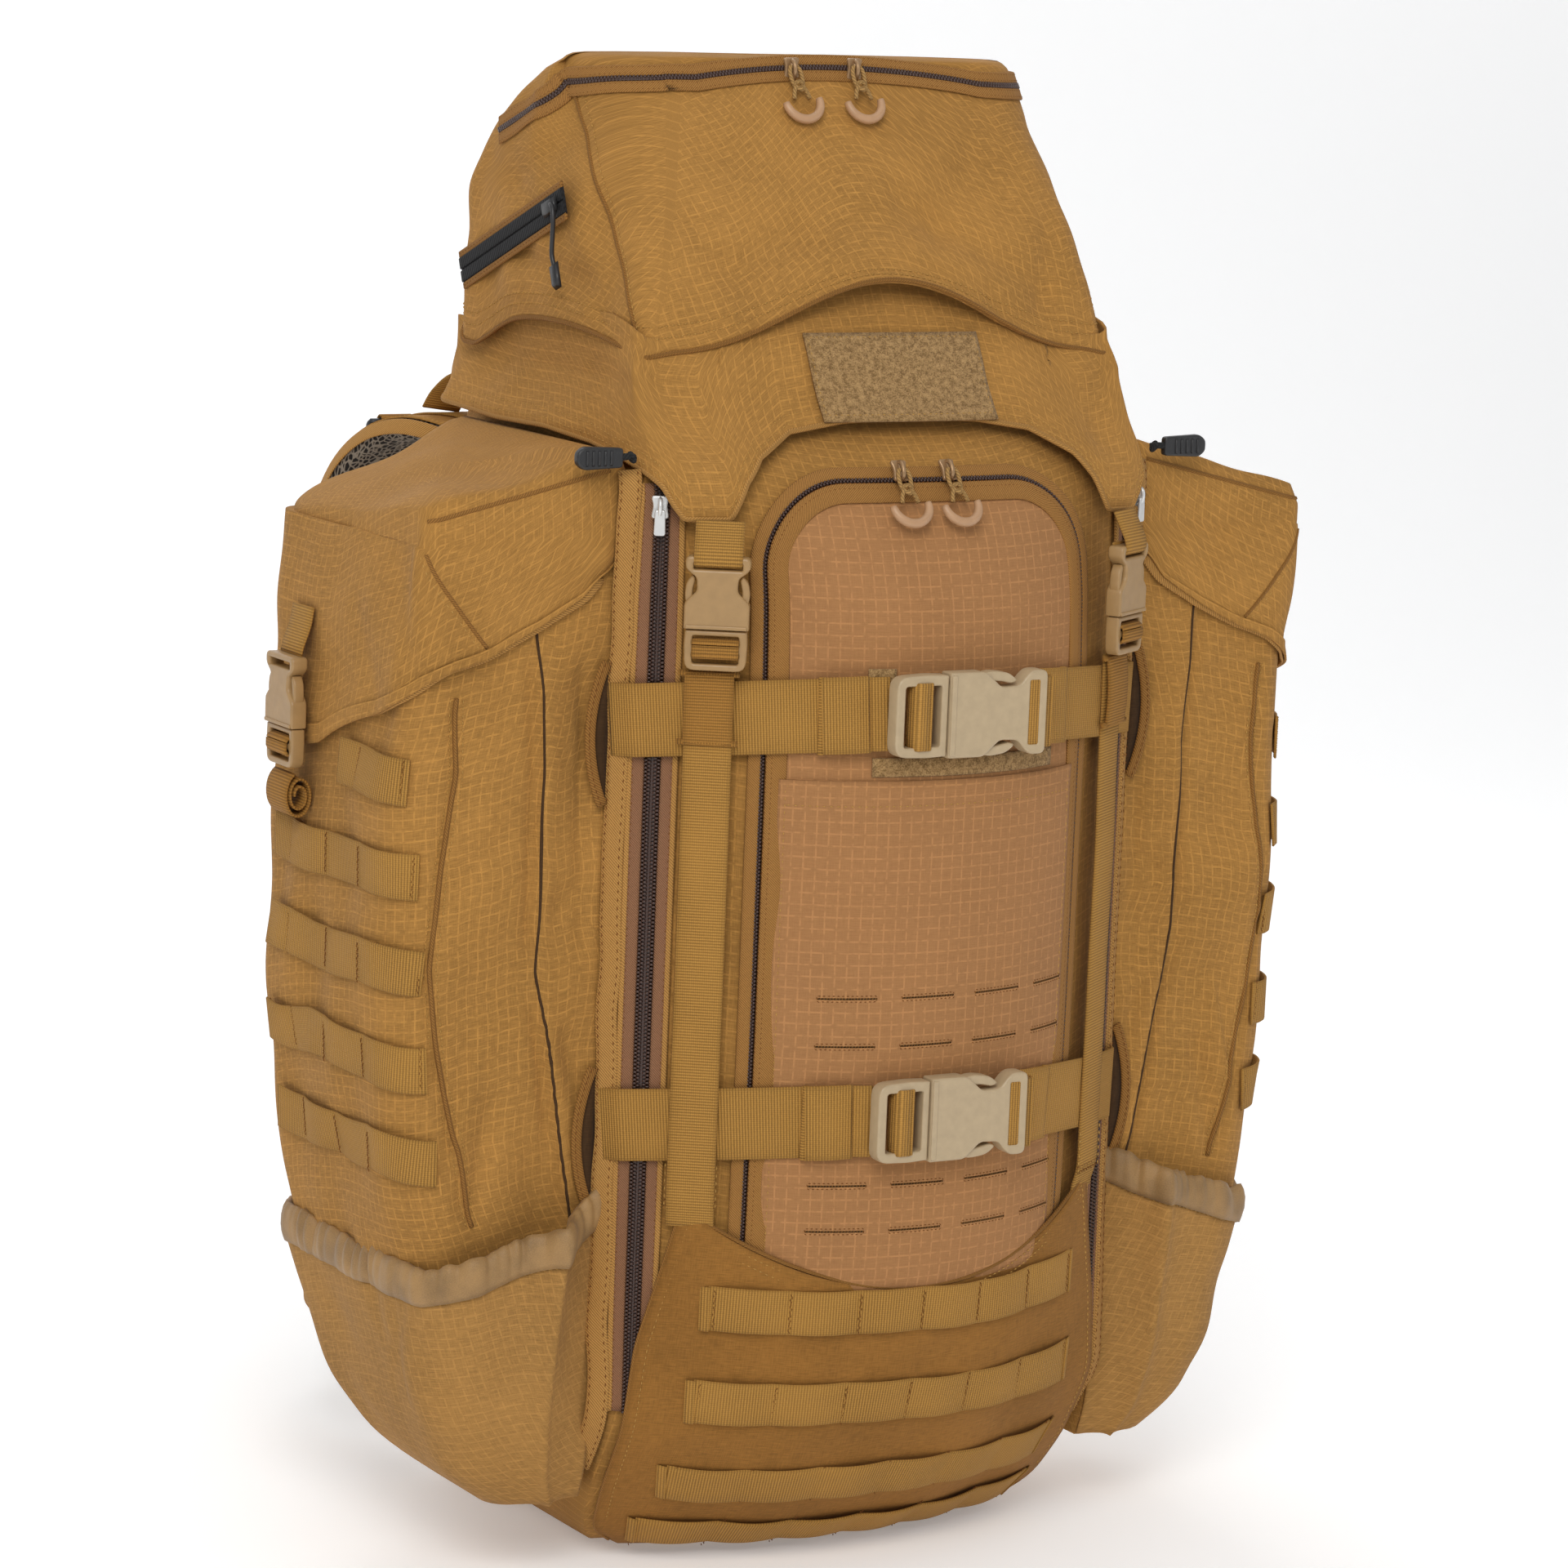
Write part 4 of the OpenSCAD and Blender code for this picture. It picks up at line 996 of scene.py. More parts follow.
def bucket_pals():
    for z, w, parts in PALS_ROWS:
        x = np.linspace(-w, w, 120)
        tack = np.linspace(-w + 3, w - 3, parts + 1)
        lift = np.abs(np.sin((x + w) / (2 * w) * math.pi * parts))
        sag = 2.2 * (x / w) ** 2 + 0.8 * ripples(x, x * 0 + z, int(z), 90)
        r = 6.3 + 1.6 * lift
        web = heap("ladder_webbing", WEB[25], "bag")
        zz = z + sag
        web.strap(on_front(x, zz, r), front_n(x, zz), 24, 1.4)
        for t in tack:
            k = z + 2.2 * (t / w) ** 2
            low, high = on_front(t, k - 10.5, 8.3), on_front(t, k + 10.5, 8.3)
            bartack("bag", low, high, front_n(t, k))
        for s in (-1, 1):
            xs = s * np.linspace(w - 1, w + 3.4, 4)
            web.strap(on_front(xs, z + 2.2, [7.6, 7.2, 6.6, 5.9]), front_n(xs, z + 2.2), 24, 1.0)


VERT_X = 116.5


def vertical_straps():
    for name, s in SIDES:
        z = np.linspace(196, 486, 80)
        x = np.full_like(z, s * VERT_X)
        r = LAYER_VERT + 0.6 * ripples(z, z * 0, 31 + s, 120)
        r = r - 3.4 * np.exp(-((z - 196) / 9) ** 2)
        web = heap("vertical_webbing", WEB[25], "bag")
        web.strap(on_front(x, z, r), front_n(x, z), 25, WEB_T)
        for dx in (-10.6, 10.6):
            sew_front([(s * VERT_X + dx, 206), (s * VERT_X + dx, 230)], 9.3)
        for zz in (207, 210):
            bartack("bag", on_front(s * VERT_X - 11, zz, 9.1), on_front(s * VERT_X + 11, zz, 9.1),
                    front_n(s * VERT_X, zz))
        # webbing up to the ladder bar, and the folded tail round it
        place = at_front(s * 114.0, 508, 12)
        tail = heap("buckle_tails", WEB_DEEP, "bag")
        z2 = np.linspace(448, 485, 16)
        x2 = np.full_like(z2, s * VERT_X)
        tail.strap(on_front(x2, z2, 10.0 + 1.2 * np.sin(np.linspace(0, math.pi, 16))),
                   front_n(x2, z2), 25.5, 1.8)
        for zz in (449, 484):
            edge = np.linspace(-12.5, 12.5, 8) + s * VERT_X
            heap("tail_folds", WEB_DEEP, "bag").tube(on_front(edge, zz, 10.6), 1.5, 8)


def at_front(x, z, r):
    """Upright local frame on the bag's front, its back r off the cloth."""
    turn = math.atan(2 * float(bow(z)) * x / 22500)
    normal = np.array([math.sin(turn), -math.cos(turn), 0])
    return Place(on_front(x, z, 0.0) + r * normal, (0, 0, 1), normal)


def strap_height(x, z):
    return z - 9 * (np.asarray(x) / 151) ** 2


def compression_straps():
    for zc in (466.0, 255.0):
        for x0, x1 in ((-156, -36), (40, 156)):
            x = np.linspace(x0, x1, 60)
            z = strap_height(x, zc)
            web = heap("compression_webbing", WEB[38], "bag")
            near = np.exp(-((x - (-36 if x0 < 0 else 40)) / 12) ** 2)
            r = LAYER_COMP + 3.6 * near + 0.5 * ripples(x, x * 0, int(zc), 60)
            r = r - 5.0 * np.clip((np.abs(x) - 146) / 10, 0, 1)
            web.strap(on_front(x, z, r), front_n(x, z), 38, WEB_T)
        for x0, x1, extra in ((-68, -46, 2.6), (50, 72, 2.2)):
            x = np.linspace(x0, x1, 14)
            z = strap_height(x, zc)
            fold = heap("compression_folds", WEB[38], "bag")
            bulge = extra + 1.5 * np.sin(np.linspace(0.2, math.pi - 0.2, 14))
            fold.strap(on_front(x, z, LAYER_COMP + bulge), front_n(x, z), 39.5, 1.7)
            end = x0 if x0 < 0 else x1
            zz = strap_height(end, zc) + np.linspace(-19.5, 19.5, 9)
            fold.tube(on_front(end, zz, LAYER_COMP + 2.0), 1.9, 8)
        if zc > 400:
            patch = np.linspace(-46, -32, 8)
            heap("hook_strip", LOOP, "bag").strap(
                on_front(patch, zc + 15, LAYER_COMP + 1.0), front_n(patch, zc), 14, 0.8)


COMP_MOUTH, COMP_STAND = -11.0, 9.0


def comp_place(zc):
    origin = (COMP_MOUTH, float(front_y(0, zc)) - COMP_STAND, zc)
    return Place(origin, (1, 0, 0), (0, -1, 0))


def buckles():
    female = heap("compression_buckle_females", BEIGE_PLASTIC, "bag")
    for zc, name in ((466.0, "upper"), (255.0, "lower")):
        place = comp_place(zc)
        female_half(female, place, 44, 58, 11)
        wrap(heap("compression_wraps", WEB[38], "bag"), place, 37, 48, 60, 1.5, 9)
        male = Heap()
        male_half(male, place, 44, 31, 11, 40)
        body = f"compression_male_{name}"
        male.build(body, BEIGE_PLASTIC, body, [body])
        loop = Heap()
        wrap(loop, place, 35, -17.5, -12.5, 0.5, 10)
        loop.build(f"{body}_webbing", WEB[38], body)
    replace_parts(female_object("compression_buckle_females", BEIGE_PLASTIC, "bag"),
                "compression_buckle_females")
    hood_female = Heap()
    for name, s in SIDES:
        place = at_front(s * 114.0, 508, 12)
        female_half(hood_female, place, 33, 37, 9)
        male = Heap()
        male_half(male, place, 33, 21, 9, 27)
        male.build(f"front_male_{name}", TAN_PLASTIC, f"front_male_{name}", [f"front_male_{name}"])
        loop = Heap()
        wrap(loop, place, 24, -12.0, -8.0, 0.5, 8.6)
        loop.build(f"front_male_{name}_webbing", WEB_DEEP, f"front_male_{name}")
        # webbing from the hood's tongue down to the buckle's bar
        tab = Heap()
        z = np.array([38, 34, 32, 34, 40, 46, 54.0])
        out = np.array([2.0, 1.0, 4.5, 8.4, 7.6, 4.2, 0.2])
        spot = place(np.stack([np.zeros(7), z, out], 1))
        spot = spline(spot, 20, 2)
        side = np.broadcast_to(place.x, spot.shape)
        tab.strap(spot, unit(np.cross(side, np.gradient(spot, axis=0))), 25, 1.5)
        tab.build(f"hood_tab_{name}", WEB[25], "hood")
    hood_female.build("front_buckle_females", TAN_PLASTIC, "hood", ["front_buckle_females"])
    pod_female = Heap()
    for name, s in SIDES:
        place = pod_place(s)
        female_half(pod_female, place, 33, 37, 9)
        male = Heap()
        male_half(male, place, 33, 21, 9, 27)
        male.build(f"pod_male_{name}", TAN_PLASTIC, f"pod_male_{name}", [f"pod_male_{name}"])
        loop = Heap()
        wrap(loop, place, 24, -12.0, -8.0, 0.5, 8.6)
        loop.build(f"pod_male_{name}_webbing", WEB_DEEP, f"pod_male_{name}")
        roll = heap("rolled_tails", WEB_DEEP, "bag")
        turn = np.linspace(0, 4.4 * math.pi, 60)
        rad = 3.2 + 0.62 * turn
        spot = place(np.stack([turn * 0, -36 + rad * np.sin(turn), 1.5 + rad * np.cos(turn) * 0.62 - 0.5], 1))
        side = np.broadcast_to(place.x, spot.shape)
        roll.strap(spot, unit(np.cross(np.gradient(spot, axis=0), side)) * -1, 25, 1.3)
        top = place(np.array([[0, 37, 1.5], [0, 42, 0.5], [0, 52, -3.5], [0, 62, -5.0]]))
        heap("pod_tabs", WEB[25], "bag").strap(spline(top, 12, 2), np.broadcast_to(place.z, (12, 3)), 25, 1.4)
    pod_female.build("pod_buckle_females", TAN_PLASTIC, "bag", ["pod_buckle_females"])


def female_object(kind, shade, body):
    """Builds a shared heap now and takes it off the list."""
    box, shade, body, flat = HEAPS.pop(f"{kind}_{body}")
    return box.build(kind, shade, body, (), flat)


# ---------- side pods ----------

POD_IN, POD_FRONT, POD_BACK = 155.0, -150.0, 30.0
pod_out = smooth_table([(42, 200), (60, 226), (90, 240), (140, 250), (200, 262), (290, 272),
                        (380, 272), (460, 268), (550, 262), (590, 258)])
pod_front = smooth_table([(42, -140), (60, -147), (90, -150), (590, -150)])
pod_back = smooth_table([(42, -60), (60, -30), (90, 0), (140, 18), (200, 28), (590, 30)])
FRONT_N = 50
CORNER = FRONT_N + 5


def pod_outline(z, d=0.0, corner=30.0):
    """Right-hand pod at height z: front from the bag outwards, side, back and inner face."""
    x0, x1 = POD_IN - d, float(pod_out(z)) + d
    y0, y1 = float(pod_front(z)) - d, float(pod_back(z)) + d
    r = min(corner, (x1 - x0) / 3)
    q = min(30.0, (x1 - x0) / 3)
    turn = np.linspace(0, math.pi / 2, 13)
    front = np.stack([np.linspace(x0, x1 - r, FRONT_N), np.full(FRONT_N, y0)], 1)
    a = np.stack([x1 - r + r * np.sin(turn), y0 + r - r * np.cos(turn)], 1)[1:]
    side = np.stack([np.full(36, x1), np.linspace(y0 + r, y1 - q, 36)], 1)[1:]
    b = np.stack([x1 - q + q * np.cos(turn), y1 - q + q * np.sin(turn)], 1)[1:]
    back = np.stack([np.linspace(x1 - q, x0, 22), np.full(22, y1)], 1)[1:]
    line = np.vstack([front, a, side, b, back])
    return np.column_stack([line, np.full(len(line), float(z))])


def roof_height(x, y):
    u, v = (x - POD_IN) / 107, (y + 150) / 180
    return 588 - 26 * u - 22 * u * v


def pod_corner(z):
    return float(np.interp(z, [80, 430, 500, 560], [26, 30, 16, 4]))


def pod_grid():
    """Rows up the pod, then over its roof to the middle; columns go round it."""
    z = np.concatenate([np.linspace(42, 90, 12), np.linspace(95, 546, 110)])
    rows = [pod_outline(q, 0, pod_corner(q)) for q in z]
    rim = pod_outline(550, 0, pod_corner(556))
    high = roof_height(rim[:, 0], rim[:, 1])
    for k in np.linspace(0.12, 1, 9):
        row = rim.copy()
        row[:, 2] = 546 + (high - 6 - 546) * k
        rows.append(row)
    centre = np.array([205.0, -60.0])
    for k, lift in ((0.985, -2.5), (0.96, -0.8), (0.92, 0), (0.8, 0.6),
                    (0.6, 1.2), (0.4, 1.6), (0.2, 1.8), (0.04, 1.9)):
        row = rim.copy()
        row[:, :2] = centre + (row[:, :2] - centre) * k
        row[:, 2] = roof_height(row[:, 0], row[:, 1]) + lift
        rows.append(row)
    return np.array(rows)


POD = pod_grid()
POD_WALL = 122


def pod_round():
    """Distance round the pod at mid height from the inner front edge, for each column."""
    return lengths(pod_outline(400, 0, 30))


ROUND = pod_round()


def pod_cloth(s):
    """The pod's own cloth with its pleats, seams and sagging."""
    p = POD.copy()
    cloth = Cloth(p, 1.0, True)
    if cloth.normals[40, 40][0] < 0:
        cloth = Cloth(p, -1.0, True)
    a = np.broadcast_to(ROUND[None, :], p.shape[:2])
    z = p[..., 2]
    d = pleat(a, z, (41, 528), (38, 323), 11, 4.6, 30) + pleat(a, z, (38, 326), (15, 186), 11, 5.0, 30)
    d += crease(a, z, (44, 520), (41, 323), 5, 2.6, 30) + crease(a, z, (41, 326), (19, 190), 5, 3.0, 30)
    d += crease(a, z, (86, 470), (100, 332), 3.2, 2.6, 8) + crease(a, z, (100, 334), (84, 200), 3.2, 3.0, 8)
    d += pleat(a, z, (66, 300), (92, 214), 8, 2.6) + crease(a, z, (58, 270), (82, 190), 6, 3.0)
    d += crease(a, z, (16, 490), (9, 330), 6, 2.6) + crease(a, z, (24, 300), (7, 250), 6, 2.6)
    d += crease(a, z, (50, 400), (94, 372), 9, 2.2) + crease(a, z, (46, 470), (80, 446), 9, 1.8)
    d += crease(a, z, (12, 372), (36, 352), 7, 2.2) + crease(a, z, (10, 420), (34, 440), 7, 2.0)
    for level in (391, 342, 293, 244):
        d += crease(a, z, (112, level - 12), (200, level - 14), 7, 1.1)
    d += (1.3 * ripples(a, z * 0.5, 41 + s, 46) + 1.2 * ripples(a, z, 42 + s, 100)) \
        * np.clip((z - 60) / 60, 0, 1)
    d = np.maximum(d, -4.5)
    covered = np.clip((z - flap_hem(ROUND)[None, :] + 34) / 26, 0, 1)
    d = d - (np.maximum(d, 0) + 0.6) * covered
    seam = np.clip(np.minimum(a - 4, 470 - a) / 12, 0, 1)
    return cloth.moved(d * seam)


def mirror(points, s):
    points = np.array(points, float)
    points[..., 0] *= s
    return points


def sided(cloth, s):
    """The same cloth on side s, its normals still pointing out."""
    if s > 0:
        return cloth
    other = Cloth(mirror(cloth.points, -1), 1.0, cloth.closed)
    other.normals = mirror(cloth.normals, -1)
    return other


def column(a):
    """Grid position across for a distance a round the pod."""
    return np.interp(a, ROUND, np.arange(len(ROUND))) / (len(ROUND) - 1)


def pod_rows(z):
    """Grid position up for a height z on the pod's wall."""
    return np.interp(z, POD[:POD_WALL, 60, 2], np.arange(POD_WALL)) / (len(POD) - 1)


def pods():
    for name, s in SIDES:
        cloth = sided(pod_cloth(s), s)
        shell_piece(f"pod_{name}", cloth, CLOTH, "bag", [f"pod_{name}"])
        # piped seam from the flap down the front outer edge
        z = np.linspace(470, 196, 80)
        a = np.interp(z, [196, 206, 332, 470], [78, 80, 97, 84])
        spot = cloth.at(column(a), pod_rows(z), 0.4)
        up = cloth.normal(column(a), pod_rows(z))
        heap("pod_piping", BINDING_DARK, "bag").tube(spot, 1.3, 6)
        for da in (-3.4, 3.4):
            spot = cloth.at(column(a + da), pod_rows(z), 0.25)
            sew("bag", spot, up, pitch=3.6)
        # a near-black tube sunk into the pleat's drop: a painted shadow line along the fold
        z = np.linspace(512, 192, 70)
        a = np.interp(z, [186, 326, 528], [14.0, 37.6, 40.6])
        fold = cloth.at(column(a), pod_rows(z), -0.4)
        heap("pod_folds", PAINTED_SHADOW, "bag").tube(fold, 0.9, 6)
        pod_flap(name, s)
        pod_pals(cloth)
        stretch_pocket(name, s)


def flap_hem(a):
    """Height of the flap's hem at a distance round the pod."""
    return np.interp(a, [0, 10, 18, 41, 66, 90, 200, 240, 520], [540, 531, 521, 505, 492, 482, 434, 430, 430])


def pod_flap(name, s):
    rows = []
    hem = flap_hem(ROUND) + 1.2 * ripples(ROUND, ROUND * 0, 51 + s, 50)
    base = Cloth(POD, 1.0, True)
    if base.normals[40, 40][0] < 0:
        base = Cloth(POD, -1.0, True)
    cols = np.arange(POD_N_COLS) / (POD_N_COLS - 1)
    for k in np.linspace(0, 1, 34):
        z = hem + (546 - hem) * k
        puff = 2.2 + 3.2 * math.sin(math.pi * min(1, k * 0.8)) + 1.4 * (1 - k) ** 3
        a = ROUND
        d = puff + 1.0 * ripples(a, z, 52 + s, 60) * min(1, k * 4 + 0.2)
        d += crease(a, z, (12, 536), (60, 566), 9, 2.2) + crease(a, z, (148, 548), (108, 470), 10, 2.8)
        d += crease(a, z, (180, 520), (140, 450), 9, 2.2) + crease(a, z, (34, 520), (56, 552), 7, 1.8)
        d = d * np.clip(a / 10 + 0.25, 0, 1) * np.clip((ROUND[-1] - a) / 10 + 0.25, 0, 1)
        rows.append(base.at(cols, pod_rows(z), np.maximum(d, 1.6)))
    for j in range(POD_WALL, len(POD)):
        n = base.normals[j]
        a, z = ROUND, POD[j, :, 2]
        lift = 3.4 + (2.0 + 1.6 * ripples(POD[j, :, 0], POD[j, :, 1], 53 + s, 70)) * (j > POD_WALL + 9)
        rows.append(POD[j] + n * np.maximum(lift, 2)[:, None])
    grid = np.array(rows)
    cloth = Cloth(grid, 1.0, True)
    if cloth.normals[10, 40][0] < 0:
        cloth = Cloth(grid, -1.0, True)
    cloth = sided(cloth, s)
    inner = cloth.moved(-1.3)
    low = inner.points[:4][::-1]
    both = Cloth(np.concatenate([low, cloth.points]), 1.0, True)
    both.normals = np.concatenate([-cloth.normals[:4][::-1], cloth.normals])
    shell = piece_from_shell(f"pod_flap_{name}", both, cloth, CLOTH_GRID, "bag", [f"pod_flap_{name}"])
    as_sheet(cloth)
    # light binding folded over the hem, with a row of stitches
    a = np.linspace(10, 200, 90)
    v = np.interp(6.0, lengths(cloth.points[:6, 40]), np.arange(6)) / (len(grid) - 1)
    spot = cloth.at(column(a), v * 0.62, 0.5)
    up = cloth.normal(column(a), v)
    heap("flap_binding", BINDING, "bag").strap(spot, up, 10.5, 1.4)
    sew("bag", cloth.at(column(a), v * 1.1, 1.9), up, pitch=3.4)
    # seams down the flap's corner and along its top edges
    k = np.linspace(0.10, 0.97, 40)
    col = np.interp(k, [0.1, 0.97], [float(column(68)) * (POD_N_COLS - 1), CORNER]) / (POD_N_COLS - 1)
    v = k * 33 / (len(grid) - 1)
    seams = heap("pod_piping", BINDING_DARK, "bag")
    seams.tube(cloth.at(col, v, 0.2), 1.1, 6)
    sew("bag", cloth.at(col + 0.016, v, 0.2), cloth.normal(col, v), pitch=3.8)
    top = np.linspace(3, CORNER, 40) / (POD_N_COLS - 1)
    v = np.full(40, 42.6 / (len(grid) - 1))
    seams.tube(cloth.at(top, v, 0.3), 1.3, 6)
    sew("bag", cloth.at(top, v - 0.035, 0.3), cloth.normal(top, v - 0.035), pitch=3.8)


POD_N_COLS = len(ROUND)


def piece_from_shell(name, cloth, outer, shade, body, replaces):
    """The flap's skin: its inner lip, then its outside closed over the roof."""
    p = cloth.points
    rows, cols = p.shape[:2]
    points = np.vstack([p.reshape(-1, 3), p[-1].mean(0)[None]])
    a, b = cloth.metric()
    uv = np.vstack([np.stack([a.ravel(), b.ravel()], 1), [[0.0, float(b[-1].mean())]]])
    turn = outer.sign() < 0
    faces = grid_faces(rows, cols, True, 0, turn)
    top = rows * cols
    for i in range(cols):
        tri = (top, (rows - 1) * cols + i, (rows - 1) * cols + (i + 1) % cols)
        faces.append(tri[::-1] if turn else tri)
    return piece(name, points, faces, shade, body, uv, replaces)


POD_PALS = ((415, 440, 112, 176), (366, 391, 104, 250), (317, 342, 100, 250),
            (268, 293, 98, 250), (219, 244, 96, 250))


def pod_pals(cloth):
    for low, high, start, end in POD_PALS:
        a = np.linspace(start, end, 70)
        z = np.full_like(a, (low + high) / 2) + 1.5 * ripples(a, a * 0, low, 80)
        tacks = np.arange(start + 3, end, 41.0)
        tacks = np.append(tacks, end - 3)
        lift = np.abs(np.sin((a - tacks[0]) / 41.0 * math.pi))
        r = 0.8 + 2.2 * lift
        spot, up = cloth.at(column(a), pod_rows(z), r), cloth.normal(column(a), pod_rows(z))
        heap("ladder_webbing", WEB[25], "bag").strap(spot, up, 24, 1.4)
        for t in tacks:
            c, v0, v1 = column(t), pod_rows((low + high) / 2 - 10.5), pod_rows((low + high) / 2 + 10.5)
            bartack("bag", cloth.at(c, v0, 2.4), cloth.at(c, v1, 2.4),
                    cloth.normal(c, pod_rows((low + high) / 2)))


def pocket_hem(a):
    return np.interp(a, [0, 20, 70, 110, 330], [206, 198, 184, 172, 174])


def stretch_pocket(name, s):
    """Gathered pocket round the foot of the pod, its mouth held open by the elastic hem."""
    base = Cloth(POD, 1.0, True)
    if base.normals[40, 40][0] < 0:
        base = Cloth(POD, -1.0, True)
    a = np.linspace(1, 318, 150)
    hem = pocket_hem(a) - 14
    ends = np.clip(np.minimum(a / 34, (318 - a) / 30), 0.02, 1)
    rows = []
    for k in np.linspace(0, 1, 34):
        z = 43.5 + (hem - 43.5) * k
        gap = np.interp(z, [42, 60, 90, 140, 190], [1.2, 2.2, 5.5, 11.0, 15.0]) * ends
        gap = gap * np.interp(a, [86, 116, 250, 318], [1, 0.3, 0.3, 0.8])
        ridge = 13.0 * np.exp(-np.abs(a - (35 + 17 * (1 - k))) / 11) * (0.4 + 0.6 * k)
        d = gap + ridge + 1.2 * ripples(a, z, 61 + s, 55) * (0.3 + 0.7 * k) * ends
        d += (crease(a, z, (122, 170), (150, 95), 8, 3.2)
              + crease(a, z, (160, 172), (150, 120), 8, 2.2)) * ends
        rows.append(base.at(column(a), pod_rows(z), np.maximum(d, 1.0)))
    grid = np.array(rows)
    cloth = Cloth(grid, 1.0)
    if cloth.normals[10, 90][0] < 0:
        cloth = Cloth(grid, -1.0)
    cloth = sided(cloth, s)
    node = f"stretch_pocket_{name}"
    foot = cloth_piece(node, cloth, POCKET, "bag", 1.2, replaces=[node])
    as_sheet(cloth)
    # hem: a gathered tube of thin cloth
    rows = []
    fine = np.linspace(1, 318, 420)
    ends = np.clip(np.minimum(fine / 34, (318 - fine) / 30), 0.02, 1)
    pleat = 1.6 * ripples(fine, fine * 0, 71 + s, 9) + 1.0 * ripples(fine, fine * 0, 72 + s, 22)
    c = np.interp(fine, a, np.arange(150)) / 149
    top = cloth.at(c, np.ones_like(c), 0.6)
    up = cloth.normal(c, np.ones_like(c))
    rise = np.array([0, 0, 1.0])
    section = [(-1.5, 1.6), (2, 2.9), (6, 3.6), (11, 3.4), (15, 2.2),
               (17.5, 0.2), (17, -1.6), (12, -2.2), (6, -1.8), (0, -1.0)]
    for h, out in section:
        ease = min(1, abs(h) / 8)
        shift = pleat * (0.25 + 0.75 * ease)
        rows.append(top + rise * (h + shift * 0.7 * ease)[:, None]
                    + up * (out * 0.8 + shift * 0.55)[:, None])
    hem_grid = Cloth(np.array(rows), 1.0)
    if hem_grid.normals[2, 200] @ up[200] < 0:
        hem_grid = Cloth(np.array(rows), -1.0)
    cloth_piece(f"pocket_hem_{name}", hem_grid, HEM, "bag", 0.8)
    sew("bag", cloth.at(c, np.full_like(c, 0.985), 1.8), up, pitch=3.4)


def strap_openings():
    """Where the straps come out between bag and pod: a near-black sheet standing in the gap as painted shade, with a
    bound edge.
    """
    for s in (-1, 1):
        for zc in (452.0, 241.0):
            t = np.linspace(0, 1, 24)
            x = s * (157.6 + 8.5 * np.sin(t * math.pi) ** 0.8)
            z = zc + 34 - 74 * t
            curve = np.column_stack([x, np.full(24, -152.6), z])
            inner = np.column_stack([np.full(24, s * 157.6), np.full(24, -152.2), z])
            # a near-black sheet across the opening: painted shade inside the gap
            gap = heap("strap_gaps", PAINTED_SHADOW, "bag")
            points = np.vstack([curve, inner, curve + [0, 1.2, 0], inner + [0, 1.2, 0]])
            faces = []
            for i in range(23):
                quad = (i, i + 1, 24 + i + 1, 24 + i)
                faces += [quad if s < 0 else quad[::-1]]
                faces += [tuple(k + 48 for k in (quad[::-1] if s < 0 else quad))]
                for a, b in ((i, i + 1), (24 + i + 1, 24 + i)):
                    wall = (b, a, a + 48, b + 48)
                    faces.append(wall if s < 0 else wall[::-1])
            gap.add(points, faces)
            edge = heap("opening_binding", BINDING_DARK, "bag")
            edge.strap(curve + [s * 2.6, 0.4, 0], np.tile([0, -1.0, 0], (24, 1)), 6, 1.9)
            sew("bag", curve + [s * 3.6, -1.6, 0], np.array([0, -1.0, 0]), True, pitch=3.2)


def pod_place(s):
    z = 440.0
    return Place((s * (float(pod_out(z)) + 8.5), -30, z), (0, 0, 1), (s, 0, 0))


# ---------- hood and lid ----------

hood_mid = smooth_table([(540, -222), (560, -217), (575, -209), (590, -199), (606, -176),
                         (625, -160), (641, -151), (665, -137), (690, -124)], 4)
ARCH = 33.0


def arch(x):
    return ARCH * np.cos(math.pi / 2 * np.minimum(1, np.abs(np.asarray(x, float)) / 116)) ** 2


def hood_y(x, z):
    return hood_mid(z) + bow(z) * (np.asarray(x) / 150) ** 2


def hood_rim(t):
    """Lower edge of the hood round the bag, t from 0 (left rear) by the front to 1."""
    knots = [(0.0, -147, 62, 603), (0.04, -157, 50, 599), (0.12, -159, -20, 597), (0.2, -157, -70, 598),
             (0.26, -151, -112, 594), (0.285, -146, -146, 582), (0.305, -139, -150, 569),
             (0.32, -134, -150, 562), (0.34, -113, -150, 562.5), (0.352, -109, -150, 570),
             (0.365, -104, -150, 580), (0.385, -94, -150, 592), (0.42, -72, -150, 604),
             (0.46, -40, -150, 609), (0.5, 0, -150, 611)]
    k = np.array(knots)
    m = np.minimum(t, 1 - t)
    x, y, z = (np.interp(m, k[:, 0], k[:, i]) for i in (1, 2, 3))
    return np.where(t > 0.5, -x, x), y, z


def hood_cloth():
    t = np.concatenate([np.linspace(0, 0.28, 40), np.linspace(0.284, 0.716, 150), np.linspace(0.72, 1, 40)])
    x, y, z = hood_rim(t)
    near = np.minimum(t, 1 - t)
    front = np.clip((near - 0.26) / 0.03, 0, 1)
    side = np.clip((near - 0.05) / 0.05, 0, 1) * (1 - front)
    rows = []
    for v in np.linspace(0, 1, 46):
        top = 643.4 + 16 * side + (6 + arch(x)) * front
        zz = z + (top - z) * v
        yf = hood_y(x, zz) - 1.6
        yy = y * (1 - front) + yf * front
        over = np.clip((zz - 600) / 26, 0, 1)
        back = 1 - front
        wide = np.abs(x) * (1 - over * back) + np.minimum(np.abs(x), 142.0) * over * back
        tuck = 7.0 * np.clip((zz - 632) / 14, 0, 1) * front * (np.abs(x) > 100)
        xx = np.sign(x) * (wide - tuck)
        puff = 2.4 * np.sin(math.pi * np.clip(v * 1.1, 0, 1)) * front
        rows.append(np.stack([xx, yy - puff, zz], 1))
    return Cloth(np.array(rows), 1.0)


